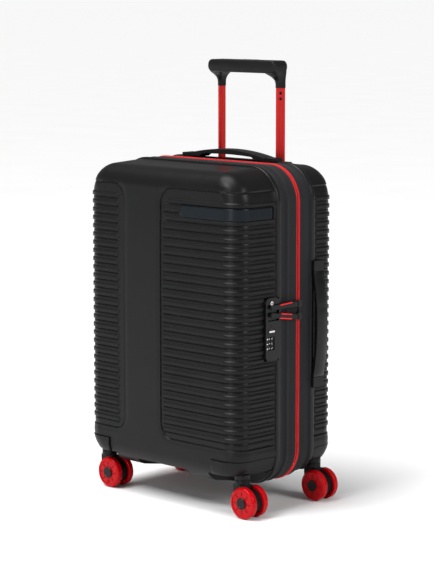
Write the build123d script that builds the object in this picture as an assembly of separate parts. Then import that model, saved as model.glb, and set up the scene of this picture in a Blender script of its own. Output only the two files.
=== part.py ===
from build123d import *
import math
import os

# Hard-shell cabin suitcase on four twin-wheel castors, opened like a book at its zip.
# +X points to the side with the lock, -Y to the front face, +Z up, z = 0 is the floor.
# Shapes are drawn about the middle of the case. The castors trail 15 mm towards +X, so every
# saved piece is moved by CASE_X, and the origin is the centre of the whole footprint.

# ---- driving dimensions, mm ----
CASE_X = -8.0

BAND_HALF = 175.0          # zip band: half width, lowest and highest point, corner radius
BAND_LOW, BAND_HIGH = 38.0, 541.0
BAND_CORNER = 57.0
BAND_WALL = 5.0

FRONT_FACE, FRONT_RIM, FRONT_RIM_IN = -117.0, -30.0, -21.0
ZIP_FRONT, ZIP_MID, ZIP_BACK = 14.9, 18.6, 22.4
BACK_RIM_IN, BACK_RIM, BACK_FACE = 48.4, 57.5, 116.0
RIM_PROUD = 0.8            # how far the rims stand out of the band
ZIP_SPLIT = 0.05           # half the gap between the two rows of zip teeth

RIM_HALF, RIM_LOW, RIM_HIGH, RIM_CORNER = 173.5, 40.0, 539.0, 55.0      # shell edge at the rim
FACE_HALF, FACE_LOW, FACE_HIGH, FACE_CORNER = 171.5, 55.0, 534.0, 47.0  # shell edge at its face
EDGE_RADIUS = 32.0
SHELL_WALL = 2.5
BASE_RECESS_HALF, BASE_RECESS_Z = 56.0, 64.0

RIB_COUNT, RIB_PITCH, RIB_TOP, RIB_TALL, RIB_DEPTH = 28, 13.48, 486.0, 5.2, 1.8
PANEL_LOW, PANEL_HIGH, PANEL_CORNER = 107.0, 507.0, 25.0
RIGHT_PANEL, LEFT_PANEL, RIB_MARGIN = 4.0, -78.0, 14.0

BADGE_X, BADGE_LOW, BADGE_HIGH, BADGE_CORNER = 49.0, 466.0, 485.0, 9.0

CASTOR_X, CASTOR_Y = 151.4, 82.2
TRAIL, WHEEL_R, WHEEL_IN, WHEEL_OUT = 14.8, 24.9, 8.0, 18.3
AXLE_R, BORE_R = 3.0, 3.06
NECK_R, NECK_LOW, NECK_TOP, RING_LOW = 12.3, 50.3, 58.6, 59.0
HOOD_R, HOOD_HALF, HOOD_CUT = 20.0, 7.4, 12.0
KINGPIN_R, KINGPIN_BORE = 5.0, 5.06
POD_X, POD_LOW, POD_HIGH, POD_EDGE = 116.0, 66.0, 89.0, 29.5
BAY_R = 47.0

LOCK_Y, LOCK_Z, LOCK_WIDE, LOCK_TALL, LOCK_OUT = -41.5, 291.5, 31.0, 99.0, 176.8
LOCK_LINE = -44.0          # the dials, button and key stand on this line
DIAL_R, DIAL_TALL, DIAL_X = 7.0, 5.4, 170.2
DIALS = {"dial_upper": 277.2, "dial_middle": 269.7, "dial_lower": 262.3}
BUTTON_Z, KEY_Z, MARK_Z = 288.7, 296.6, 332.5
BUTTON_SIDE, BUTTON_TALL, KEY_R, MARK_R = 7.0, 5.2, 3.6, 5.0
SHAFT_R, SHAFT_LOW, SHAFT_HIGH, DIAL_SLOT = 1.5, 253.0, 285.5, 6.7
LOCK_BACK, PAST_LOCK = 158.0, 180.0        # back of the housing, and a plane beyond its face

PULL_PIN = (180.4, 14.7)   # pin that each pull swings on, x and y

HINGE_LOW, HINGE_HIGH = 110.0, 470.0

TUBE_X, TUBE_Y = 66.0, 95.0
GRIP_TOP, GRIP_BAR, LEG_LOW, GRIP_HALF = 700.0, 15.5, 658.0, 75.0
GRIP_FRONT, GRIP_BACK, LEG_FRONT = 71.0, 102.5, 87.0
BEZEL_LOW, BEZEL_FLOOR, BEZEL_HIGH = 492.0, 521.0, 537.0
BEZEL_HALF, BEZEL_FRONT, BEZEL_BACK, BEZEL_WALL = 80.5, 67.0, 107.0, 2.5
COLLAR_IN, COLLAR_FLOOR = 33.0, 504.0      # the two deeper ends of the tray round the tubes
BRACKET_HALF, BRACKET_DEPTH, BRACKET_LOW, BRACKET_HIGH = 84.0, (81.5, 107.5), 68.5, 84.0
GUIDE_LOW, GUIDE_HIGH = 70.0, 497.0
MIDDLE_LOW, MIDDLE_HIGH = 90.0, 496.0
INNER_LOW, INNER_HIGH = 255.0, 668.0
TUBE_WALL, TUBE_GAP = 1.2, 0.3
GUIDE_GROW = 2 * (TUBE_WALL + TUBE_GAP)    # the guide tube's inside over the inner tube's outside
RIVETS, RIVET_R, RIVET_IN, RIVET_OUT = (647.7, 638.6), 1.8, 3.4, 5.6   # heights, radius, ends

TOP_HANDLE_Y, SIDE_HANDLE_Y, SIDE_HANDLE_Z = 50.0, 61.0, 289.0
HANDLE_GRIP, HANDLE_END, HANDLE_WIDE = 84.0, 101.0, 24.0
HANDLE_THICK = 8.0
SOCKET_DEEP = 16.0

STRAP_ROWS, STRAP_WIDE, STRAP_END, STRAP_DEPTH = (330.0, 250.0), 24.0, 160.0, (72.5, 74.5)
BUCKLE_HALF, BUCKLE_DEPTH = 14.0, (68.5, 74.8)
COVER_HALF, COVER_LOW, COVER_HIGH, COVER_DEPTH = 163.0, 96.0, 480.0, (76.0, 77.2)
LINING_GAP = 1.5           # room left in the lining round the handle sockets and the bezel

FIT = 0.3                  # clearance between neighbouring moving pieces

PARTS = "parts"
os.makedirs(PARTS, exist_ok=True)


# ---- small helpers ----
def block(x0, x1, y0, y1, z0, z1):
    """Box between two corners."""
    return Pos((x0 + x1) / 2, (y0 + y1) / 2, (z0 + z1) / 2) * Box(x1 - x0, y1 - y0, z1 - z0)


def rod(radius, start, end):
    """Cylinder from one point to another."""
    a, b = Vector(*start), Vector(*end)
    way = b - a
    return extrude(Plane(origin=a, z_dir=way) * Circle(radius), amount=way.length)


def mirrored(shape):
    """The same shape on the other side of the case's middle plane."""
    return mirror(shape, about=Plane.YZ)


def save(name, *solids):
    """Write one node, a single solid or a group of separate ones, in the object's frame."""
    placed = [Pos(CASE_X, 0, 0) * solid for solid in solids]
    whole = placed[0] if len(placed) == 1 else Compound(children=placed)
    export_step(whole, f"{PARTS}/{name}.step")


def outline(y, half, low, high, corner):
    """Rounded rectangle of the case seen from the front, standing at depth y."""
    plane = Plane(origin=(0, y, (low + high) / 2), x_dir=(1, 0, 0), z_dir=(0, -1, 0))
    return plane * RectangleRounded(2 * half, high - low, corner)


def band_block(y0, y1, inset):
    """Straight block of the zip band between two depths."""
    face = outline(y1, BAND_HALF - inset, BAND_LOW + inset, BAND_HIGH - inset, BAND_CORNER - inset)
    return extrude(face, amount=y1 - y0)


def band_ring(y0, y1, proud=0.0, wall=BAND_WALL):
    """Ring round the case between two depths, its outer face proud of the band."""
    return band_block(y0, y1, -proud) - band_block(y0 - 1, y1 + 1, wall)


def shell_block(rim, face, inset):
    """Drafted block of one half of the case with a rounded face edge, shrunk by inset."""
    face_at = face + math.copysign(inset, rim - face)
    wide = outline(rim, RIM_HALF - inset, RIM_LOW + inset, RIM_HIGH - inset, RIM_CORNER - inset)
    small = outline(face_at, FACE_HALF - inset, FACE_LOW + inset, FACE_HIGH - inset, FACE_CORNER - inset)
    body = loft([wide, small], ruled=True)
    edge_face = body.faces().sort_by(Axis.Y)[0 if face < rim else -1]
    return fillet(edge_face.edges(), EDGE_RADIUS - inset)


# ---- castor pods and bays in the lower corners of a shell ----
def pod_space(side, grow=0.0):
    """Space of the two castor pods of one half; side is -1 for the front, +1 for the back."""
    edge = POD_EDGE if side < 0 else BACK_RIM + 2.0
    near, far = sorted((side * (edge - grow), side * 140))
    right = block(POD_X - grow, 200, near, far, POD_LOW - 2 * grow, POD_HIGH + grow)
    return right + mirrored(right)


def bay_space(side, top, grow=0.0):
    """Space that the swivelling castors of one half sweep below the case."""
    right = Pos(CASTOR_X, side * CASTOR_Y, top / 2) * Cylinder(BAY_R + grow, top)
    near, far = sorted((side * (CASTOR_Y - grow), side * 140))
    right += block(CASTOR_X - BAY_R - grow, 200, near, far, 0, top)
    return right + mirrored(right)


def base_recess(rim, face, grow=0.0):
    """Raised middle of the case's underside, seen between the castors."""
    half, top = BASE_RECESS_HALF + grow, BASE_RECESS_Z + grow
    points = [(-half - 16, 0), (-half, top), (half, top), (half + 16, 0)]
    towards = math.copysign(1, rim - face)
    back_end = max(face, rim - 12 * towards)
    plane = Plane(origin=(0, back_end, 0), x_dir=(1, 0, 0), z_dir=(0, -1, 0))
    slab = extrude(plane * make_face(Polyline(*points, close=True)), amount=abs(rim - face) - 12)
    lean = math.degrees(math.atan2(FACE_LOW - RIM_LOW, abs(rim - face)))
    return Pos(0, face, top) * Rot(-towards * lean, 0, 0) * Pos(0, -face, -top) * slab


def badge_space():
    """Strip round the front right corner that is let into the shell."""
    strip = block(BADGE_X, 200, -130, FRONT_RIM - 2, BADGE_LOW, BADGE_HIGH)
    return fillet(strip.edges().filter_by(Axis.Y).group_by(Axis.X)[0], BADGE_CORNER)


def panel_mask(side_sign, edge, rim, face):
    """Front-view outline of one recessed rib panel, pushed through the shell."""
    near, far = sorted((edge, side_sign * 200.0))
    wide, tall = far - near + PANEL_CORNER, PANEL_HIGH - PANEL_LOW
    centre_x = (near + far + side_sign * PANEL_CORNER) / 2
    centre_z = (PANEL_LOW + PANEL_HIGH) / 2
    plane = Plane(origin=(centre_x, max(rim, face), centre_z), x_dir=(1, 0, 0), z_dir=(0, -1, 0))
    return extrude(plane * RectangleRounded(wide, tall, PANEL_CORNER), amount=abs(rim - face))


def rib_bars(side_sign, edge, y0, y1):
    """The horizontal bars that stay standing in one panel."""
    start = edge + side_sign * RIB_MARGIN
    x0, x1 = sorted((start, side_sign * 200.0))
    tops = [RIB_TOP - RIB_PITCH * i for i in range(RIB_COUNT)]
    return [block(x0, x1, y0, y1, z - RIB_TALL / 2, z + RIB_TALL / 2) for z in tops]


def shell(rim, face, side):
    """One moulded shell: drafted tray with rib panels, castor bays and pod openings."""
    outer = shell_block(rim, face, 0)
    y0, y1 = sorted((rim - side * 4.0, face))
    skin = outer - shell_block(rim, face, RIB_DEPTH)
    grooves = None
    for sign, edge in ((1, RIGHT_PANEL), (-1, LEFT_PANEL)):
        edge = edge if side < 0 else sign * 90.0
        panel = panel_mask(sign, edge, rim, face) & block(-200, 200, y0, y1, 0, 600)
        bars = rib_bars(sign, edge, y0 - 1, y1 + 1)
        cut = panel - Compound(children=bars)
        grooves = cut if grooves is None else grooves + cut
    outer = outer - (skin & grooves)
    inner = shell_block(rim, face, SHELL_WALL + RIB_DEPTH)
    inner = inner - pod_space(side, SHELL_WALL) - bay_space(side, POD_LOW + SHELL_WALL, SHELL_WALL)
    inner = inner - base_recess(rim, face, SHELL_WALL)
    hull = outer - inner - pod_space(side) - bay_space(side, POD_LOW) - base_recess(rim, face)
    return hull


def castor_pods(rim, face, side):
    """Two pods let into the shell's lower corners, each with a boss for the kingpin."""
    skin = shell_block(rim, face, 0) & pod_space(side, -0.1)
    skin = skin & block(-200, 200, -200, 200, POD_LOW, POD_HIGH - 0.1)
    core = shell_block(rim, face, 3.0) & pod_space(side, -3.1)
    core = core & block(-200, 200, -200, 200, POD_LOW + 4, 200)
    pods = skin - core
    result = []
    for sign in (1, -1):
        x, y = sign * CASTOR_X, side * CASTOR_Y
        pod = pods & block(min(0, sign * 200), max(0, sign * 200), -200, 200, 0, 200)
        boss = rod(13.0, (x, y, POD_LOW + 3), (x, y, 83.5))
        ring = rod(NECK_R + 0.2, (x, y, RING_LOW), (x, y, POD_LOW + 1))
        bore = rod(KINGPIN_BORE, (x, y, 0), (x, y, 200))
        result.append(pod + boss + ring - bore)
    return result


# ---- castors, drawn with the swivel axis at x = y = 0 ----
def castor_fork():
    """Swivel neck, kingpin with its head, and the ribbed hood between the wheels."""
    neck = rod(NECK_R, (0, 0, NECK_LOW), (0, 0, NECK_TOP))
    pin = rod(KINGPIN_R, (0, 0, NECK_TOP - 1), (0, 0, 84)) + rod(8, (0, 0, 83.8), (0, 0, 85.4))
    drum = rod(HOOD_R, (TRAIL, -HOOD_HALF, WHEEL_R), (TRAIL, HOOD_HALF, WHEEL_R))
    drum -= block(-50, 50, -50, 50, 0, HOOD_CUT)
    web = block(-NECK_R, TRAIL, -HOOD_HALF, HOOD_HALF, 26, NECK_LOW + 0.5)
    grooves = Compound(children=[
        Pos(TRAIL, y, WHEEL_R) * Rot(90, 0, 0) * (Cylinder(HOOD_R + 1, 0.8) - Cylinder(HOOD_R - 0.7, 0.8))
        for y in (-4.5, -1.5, 1.5, 4.5)])
    bore = rod(AXLE_R, (TRAIL, -20, WHEEL_R), (TRAIL, 20, WHEEL_R))
    return drum + web - grooves + neck + pin - bore


def castor_axle():
    """Steel axle with a flat cap on each end."""
    axle = rod(AXLE_R, (TRAIL, -19, WHEEL_R), (TRAIL, 19, WHEEL_R))
    for sign in (-1, 1):
        start, end = sign * (WHEEL_OUT + FIT), sign * (WHEEL_OUT + FIT + 1.0)
        axle += rod(6.4, (TRAIL, start, WHEEL_R), (TRAIL, end, WHEEL_R))
    return axle


def castor_wheel(side):
    """Wheel with rounded shoulders, a shallow dished face and spoked pockets on its inner side."""
    wide = WHEEL_OUT - WHEEL_IN
    wheel = Cylinder(WHEEL_R, wide)
    rims = wheel.edges().filter_by(GeomType.CIRCLE).sort_by(Axis.Z)
    wheel = fillet([rims[-1]], 4.0)
    wheel = fillet([wheel.edges().filter_by(GeomType.CIRCLE).sort_by(Axis.Z)[0]], 1.5)
    wheel -= Pos(0, 0, wide / 2 - 0.4) * (Cylinder(19.5, 0.9) - Cylinder(8.5, 0.9))
    pocket = Cylinder(20.0, 6.0) - Cylinder(7.5, 6.0)
    for i in range(3):
        pocket -= Rot(0, 0, 60 * i) * Box(44, 3.0, 6.0)
    wheel -= Pos(0, 0, -wide / 2 + 2.9) * pocket
    wheel -= Cylinder(BORE_R, wide + 2)
    turn = Rot(90, 0, 0) if side < 0 else Rot(-90, 0, 0)
    return Pos(TRAIL, side * (WHEEL_IN + wide / 2), WHEEL_R) * turn * wheel


# ---- trolley ----
def tube_section(grow, sign, z):
    """Tube outline with its flat face turned outwards and to the front."""
    points = [(-7.5, 5.5), (7.5, 5.5), (7.5, 0.5), (3.5, -6.8), (-3.5, -6.8), (-7.5, 0.5)]
    face = make_face(Polyline(*points, close=True))
    face = fillet(face.vertices(), 2.2)
    face = offset(face, amount=grow) if grow else face
    return Pos(sign * TUBE_X, TUBE_Y, z) * Rot(0, 0, -135 * sign) * face


def tube(low, high, outer_grow, wall, sign):
    """Hollow tube between two heights."""
    outside = extrude(tube_section(outer_grow, sign, low), amount=high - low)
    inside = extrude(tube_section(outer_grow - wall, sign, low - 1), amount=high - low + 2)
    return outside - inside


def inner_tubes():
    """The two visible tubes, drilled for their rivets."""
    tubes = []
    for sign in (1, -1):
        pipe = tube(INNER_LOW, INNER_HIGH, 0, TUBE_WALL, sign)
        for pin in rivet_pins(sign):
            pipe -= pin
        tubes.append(pipe)
    return tubes


def rivet_pins(sign):
    """Small pins through the flat face of one tube."""
    nx, ny = sign * math.sqrt(0.5), -math.sqrt(0.5)
    spots = [(sign * TUBE_X + nx * d, TUBE_Y + ny * d) for d in (RIVET_IN, RIVET_OUT)]
    return [rod(RIVET_R, (*spots[0], z), (*spots[1], z)) for z in RIVETS]


def guide_tubes():
    """Fixed outer tubes inside the back shell."""
    return [tube(GUIDE_LOW, GUIDE_HIGH, GUIDE_GROW, TUBE_WALL, sign) for sign in (1, -1)]


def middle_tubes():
    """Telescoping middle tubes."""
    grow = TUBE_WALL + TUBE_GAP
    return [tube(MIDDLE_LOW, MIDDLE_HIGH, grow, TUBE_WALL, sign) for sign in (1, -1)]


def grip():
    """U-shaped trolley grip: deep bar, legs that narrow down to the tubes."""
    bar_low = GRIP_TOP - GRIP_BAR
    leg_in = 2 * TUBE_X - GRIP_HALF
    plane = Plane(origin=(0, GRIP_BACK, 0), x_dir=(1, 0, 0), z_dir=(0, -1, 0))
    window = Pos(0, (bar_low + 600) / 2) * RectangleRounded(2 * leg_in, bar_low - 600, 20)
    front = Pos(0, (GRIP_TOP + 600) / 2) * RectangleRounded(2 * GRIP_HALF, GRIP_TOP - 600, 10) - window
    body = extrude(plane * front, amount=GRIP_BACK - GRIP_FRONT)
    with BuildPart() as side_view:
        with BuildSketch(Plane(origin=(-100, 0, 0), x_dir=(0, 1, 0), z_dir=(1, 0, 0))):
            with BuildLine():
                Polyline((LEG_FRONT, LEG_LOW), (GRIP_BACK, LEG_LOW), (GRIP_BACK, GRIP_TOP),
                         (GRIP_FRONT + 2, GRIP_TOP), (GRIP_FRONT, GRIP_TOP - 2), (GRIP_FRONT, bar_low))
                ThreePointArc((GRIP_FRONT, bar_low), (80.0, 675.0), (LEG_FRONT, LEG_LOW))
            make_face()
        extrude(amount=200)
    body = body & side_view.part
    for sign in (1, -1):
        pocket = extrude(tube_section(0, sign, LEG_LOW - 1), amount=INNER_HIGH - LEG_LOW + 1)
        shaft = rod(2.2, (sign * TUBE_X, TUBE_Y, LEG_LOW), (sign * TUBE_X, TUBE_Y, bar_low + 4))
        body = body - pocket - shaft
    channel = block(-69, 69, 90, 99, bar_low + 2.5, bar_low + 11.3)
    well = block(-18.4, 18.4, 79.6, 99, bar_low + 6.2, GRIP_TOP + 1)
    return body - channel - well


def grip_button():
    """Push button in the top of the grip."""
    low = GRIP_TOP - GRIP_BAR + 10.6
    return fillet(block(-18, 18, 80, 98.6, low, GRIP_TOP + 0.3).edges().filter_by(Axis.Z), 4)


def push_rods():
    """Yoke under the button with a steel rod down each tube."""
    low = GRIP_TOP - GRIP_BAR + 7.2
    yoke = block(-68, 68, 92, 97.5, low, low + 3.4)
    for sign in (1, -1):
        yoke += rod(1.5, (sign * TUBE_X, TUBE_Y, INNER_LOW + 4), (sign * TUBE_X, TUBE_Y, low + 1))
    return yoke


def bezel():
    """Tray in the top of the back shell that takes the stowed grip and holds the guide tubes."""
    half, wall, cover = BEZEL_HALF, BEZEL_WALL, 1.0
    front, back = BEZEL_FRONT, BEZEL_BACK
    tray = block(-half, half, front, back, BEZEL_FLOOR, BEZEL_HIGH)
    tray -= block(wall - half, half - wall, front + wall, back - wall, BEZEL_FLOOR + 3, BEZEL_HIGH + cover)
    for sign in (1, -1):
        near, far = sorted((sign * COLLAR_IN, sign * half))
        tray += block(near, far, front, back, BEZEL_LOW, BEZEL_FLOOR + cover)
    for sign in (1, -1):
        near, far = sorted((sign * (COLLAR_IN + wall), sign * (half - wall)))
        tray -= block(near, far, front + wall, back - wall, COLLAR_FLOOR, BEZEL_FLOOR + 4)
        near, far = sorted((sign * (TUBE_X - 11.5), sign * (half - wall)))
        tray -= block(near, far, front + wall, back - 1.5, GUIDE_HIGH, BEZEL_FLOOR + 4)
        tray -= extrude(tube_section(GUIDE_GROW, sign, BEZEL_LOW - cover), amount=8)
    return tray


def bezel_opening(grow=0.0):
    """Hole in the top of the back shell for the bezel."""
    half = BEZEL_HALF + grow
    return block(-half, half, BEZEL_FRONT - grow, BEZEL_BACK + grow, BEZEL_LOW - 12, BEZEL_HIGH + 23)


def base_bracket():
    """Bracket that ties the guide tubes to the floor of the back shell."""
    bar = block(-BRACKET_HALF, BRACKET_HALF, *BRACKET_DEPTH, BRACKET_LOW, BRACKET_HIGH)
    window = BRACKET_HALF - 34
    bar -= block(-window, window, BRACKET_DEPTH[0] + 2.5, 110, BRACKET_LOW + 3, BRACKET_HIGH + 1)
    for sign in (1, -1):
        bar -= extrude(tube_section(GUIDE_GROW, sign, GUIDE_LOW), amount=40)
    return bar


# ---- carry handles, drawn lying along X with the seat at z = 0 ----
def carry_handle(arch):
    """Arched grip with a tongue under each end."""
    top = [(-HANDLE_GRIP, 0.3), (-62, 0.3), (-54, 5.2), (0, arch - HANDLE_THICK),
           (54, 5.2), (62, 0.3), (HANDLE_GRIP, 0.3)]
    with BuildPart() as body:
        with BuildSketch(Plane(origin=(0, HANDLE_WIDE / 2, 0), x_dir=(1, 0, 0), z_dir=(0, -1, 0))):
            with BuildLine():
                Polyline(top[0], top[1], top[2])
                ThreePointArc(top[2], top[3], top[4])
                Polyline(top[4], top[5], top[6], (HANDLE_GRIP, 5.5))
                ThreePointArc((HANDLE_GRIP, 5.5), (0, arch), (-HANDLE_GRIP, 5.5))
                Line((-HANDLE_GRIP, 5.5), top[0])
            make_face()
        extrude(amount=HANDLE_WIDE)
    tongues = [block(x - 2, x + 2, -8, 8, -13.5, 1.0) for x in (-81, 81)]
    return body.part + tongues[0] + tongues[1]


def handle_sockets(grow=0.0, hollow=True):
    """The two end sockets of a carry handle, sunk into the case."""
    result = []
    for sign in (1, -1):
        x0, x1 = sorted((sign * 76, sign * HANDLE_END))
        half = HANDLE_WIDE / 2
        body = block(x0 - grow, x1 + grow, -half - grow, half + grow, -SOCKET_DEEP - grow, 0)
        x0, x1 = sorted((sign * (HANDLE_GRIP + 0.4), sign * HANDLE_END))
        body += block(x0, x1, -half, half, -1, 5.5)
        if hollow:
            x0, x1 = sorted((sign * 78.6, sign * 83.4))
            body -= block(x0, x1, -8.4, 8.4, 0.4 - SOCKET_DEEP, 1)
        result.append(body)
    return result


TOP_PLACE = Location((0, TOP_HANDLE_Y, BAND_HIGH + RIM_PROUD))
SIDE_PLACE = Location((BAND_HALF + RIM_PROUD, SIDE_HANDLE_Y, SIDE_HANDLE_Z), (0, 90, 0))


def socket_space(grow=0.0):
    """Everything that the four sockets take out of the band and the back shell."""
    sockets = handle_sockets(grow, hollow=False)
    return Compound(children=[place * s for place in (TOP_PLACE, SIDE_PLACE) for s in sockets])


# ---- lock ----
def lock_outline(x0, x1, shrink=0.0):
    """Upright plate with round ends on the lock side."""
    plane = Plane(origin=(x0, LOCK_Y, LOCK_Z), x_dir=(0, 1, 0), z_dir=(1, 0, 0))
    face = plane * RectangleRounded(LOCK_WIDE - 2 * shrink, LOCK_TALL - 2 * shrink, 9 - shrink)
    return extrude(face, amount=x1 - x0)


def lock_body():
    """Lock housing with dial windows, button and key openings and the docking pocket for the pulls."""
    body = lock_outline(LOCK_BACK, LOCK_OUT)
    body -= block(LOCK_BACK - 1, LOCK_OUT - 3.0, -53, -31, 256, 283)      # room for the dials
    body -= block(LOCK_BACK - 1, LOCK_OUT - 4.3, -53, -31, 286, 301)      # button and key
    body -= block(LOCK_BACK - 1, LOCK_OUT - 8.8, -50, -38, 286, 318)      # latch bar
    body -= block(LOCK_OUT - 3.8, PAST_LOCK, -52, -25, 304.5, 325.5)      # docking pocket
    slots = [(z, DIAL_SLOT, DIAL_TALL / 2 + 0.4) for z in DIALS.values()]
    slots.append((BUTTON_Z, BUTTON_SIDE + FIT, BUTTON_TALL / 2 + FIT))
    for z, side, tall in slots:
        body -= block(LOCK_OUT - 4.8, PAST_LOCK, LOCK_LINE - side, LOCK_LINE + side, z - tall, z + tall)
    body -= rod(KEY_R + 0.06, (LOCK_OUT - 6.8, LOCK_LINE, KEY_Z), (PAST_LOCK, LOCK_LINE, KEY_Z))
    body -= rod(SHAFT_R, (DIAL_X, LOCK_LINE, SHAFT_LOW), (DIAL_X, LOCK_LINE, SHAFT_HIGH))
    body -= rod(MARK_R, (LOCK_OUT - 1.2, LOCK_LINE, MARK_Z), (PAST_LOCK, LOCK_LINE, MARK_Z))
    return body


def dial(z):
    """Number dial with grip notches round its edge."""
    wheel = Cylinder(DIAL_R, DIAL_TALL) - Cylinder(SHAFT_R + 0.06, DIAL_TALL + 1)
    for i in range(10):
        wheel -= Rot(0, 0, 36 * i + 18) * Pos(DIAL_R + 0.3, 0, 0) * Cylinder(0.8, DIAL_TALL + 1)
    return Pos(DIAL_X, LOCK_LINE, z) * wheel


def release_button():
    """Bar that is pressed in to free the zip pulls."""
    middle = Pos(LOCK_OUT - 3.75, LOCK_LINE, BUTTON_Z)
    return middle * Box(9.1, 2 * BUTTON_SIDE, BUTTON_TALL)


def key_cylinder():
    """Round plug with a key slot."""
    plug = rod(KEY_R, (LOCK_OUT - 10.8, LOCK_LINE, KEY_Z), (LOCK_OUT + 0.2, LOCK_LINE, KEY_Z))
    slot = block(LOCK_OUT - 1.3, PAST_LOCK, LOCK_LINE - 0.5, LOCK_LINE + 0.5, KEY_Z - 2.2, KEY_Z + 2.2)
    return plug - slot


# ---- zip ----
def zip_half(y0, y1, wall):
    """One half of the zip: a flat ring that leaves the hinge side free."""
    ring = band_ring(y0, y1, proud=0.4, wall=wall)
    return ring - block(-200, -150, -50, 80, HINGE_LOW, HINGE_HIGH)


def zip_slider(z):
    """Slider body bridging the teeth, with a lug for the pull."""
    body = fillet(block(175.8, 178.6, 14.2, 23.0, z - 5.5, z + 5.5).edges().filter_by(Axis.X), 2.0)
    lug = block(178.4, 181.9, 13.0, 16.4, z - 2.0, z + 2.0)
    return body + lug - rod(0.8, (*PULL_PIN, z - 6), (*PULL_PIN, z + 6))


def zip_pull(slider_z, tip_z):
    """Flat rubber pull from the slider to the lock, with its pin through the slider's lug."""
    root, tip = (12.3, slider_z), (-49.5, tip_z)
    run = math.hypot(root[0] - tip[0], root[1] - tip[1])
    plane = Plane(origin=(178.1, (root[0] + tip[0]) / 2, (root[1] + tip[1]) / 2), x_dir=(
        0, (root[0] - tip[0]) / run, (root[1] - tip[1]) / run), z_dir=(1, 0, 0))
    body = extrude(plane * RectangleRounded(run, 7.4, 3.0), amount=3.2)
    for sign in (1, -1):
        near, far = sorted((slider_z + sign * 2.3, slider_z + sign * 3.7))
        body += block(179.2, 181.6, 10.0, PULL_PIN[1] + 1.2, near, far)
    return body + rod(0.75, (*PULL_PIN, slider_z - 3.5), (*PULL_PIN, slider_z + 3.5))


# ---- soft pieces and screws ----
def lining(rim, face, side):
    """Fabric lining: a thin tray just inside the shell."""
    outside = shell_block(rim, face, SHELL_WALL + RIB_DEPTH + 0.4)
    inside = shell_block(rim, face, SHELL_WALL + RIB_DEPTH + 1.4)
    tray = outside - inside - pod_space(side, 3.2) - bay_space(side, POD_LOW + 3.2, 3.2)
    return tray - base_recess(rim, face, 3.2)


def pack_straps():
    """Webbing straps lying over the lining of the back half, each in two lengths."""
    spans = ((-STRAP_END, -BUCKLE_HALF), (BUCKLE_HALF, STRAP_END))
    return [block(*span, *STRAP_DEPTH, z - STRAP_WIDE / 2, z + STRAP_WIDE / 2)
            for span in spans for z in STRAP_ROWS]


def back_wall():
    """Lining panel that covers the trolley tubes."""
    return block(-COVER_HALF, COVER_HALF, *COVER_DEPTH, COVER_LOW, COVER_HIGH)


def strap_buckle():
    """Side-release buckles between the strap ends."""
    half = BUCKLE_HALF
    return [fillet(block(-half, half, *BUCKLE_DEPTH, z - half, z + half).edges().filter_by(Axis.Y), 4)
            for z in STRAP_ROWS]


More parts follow.
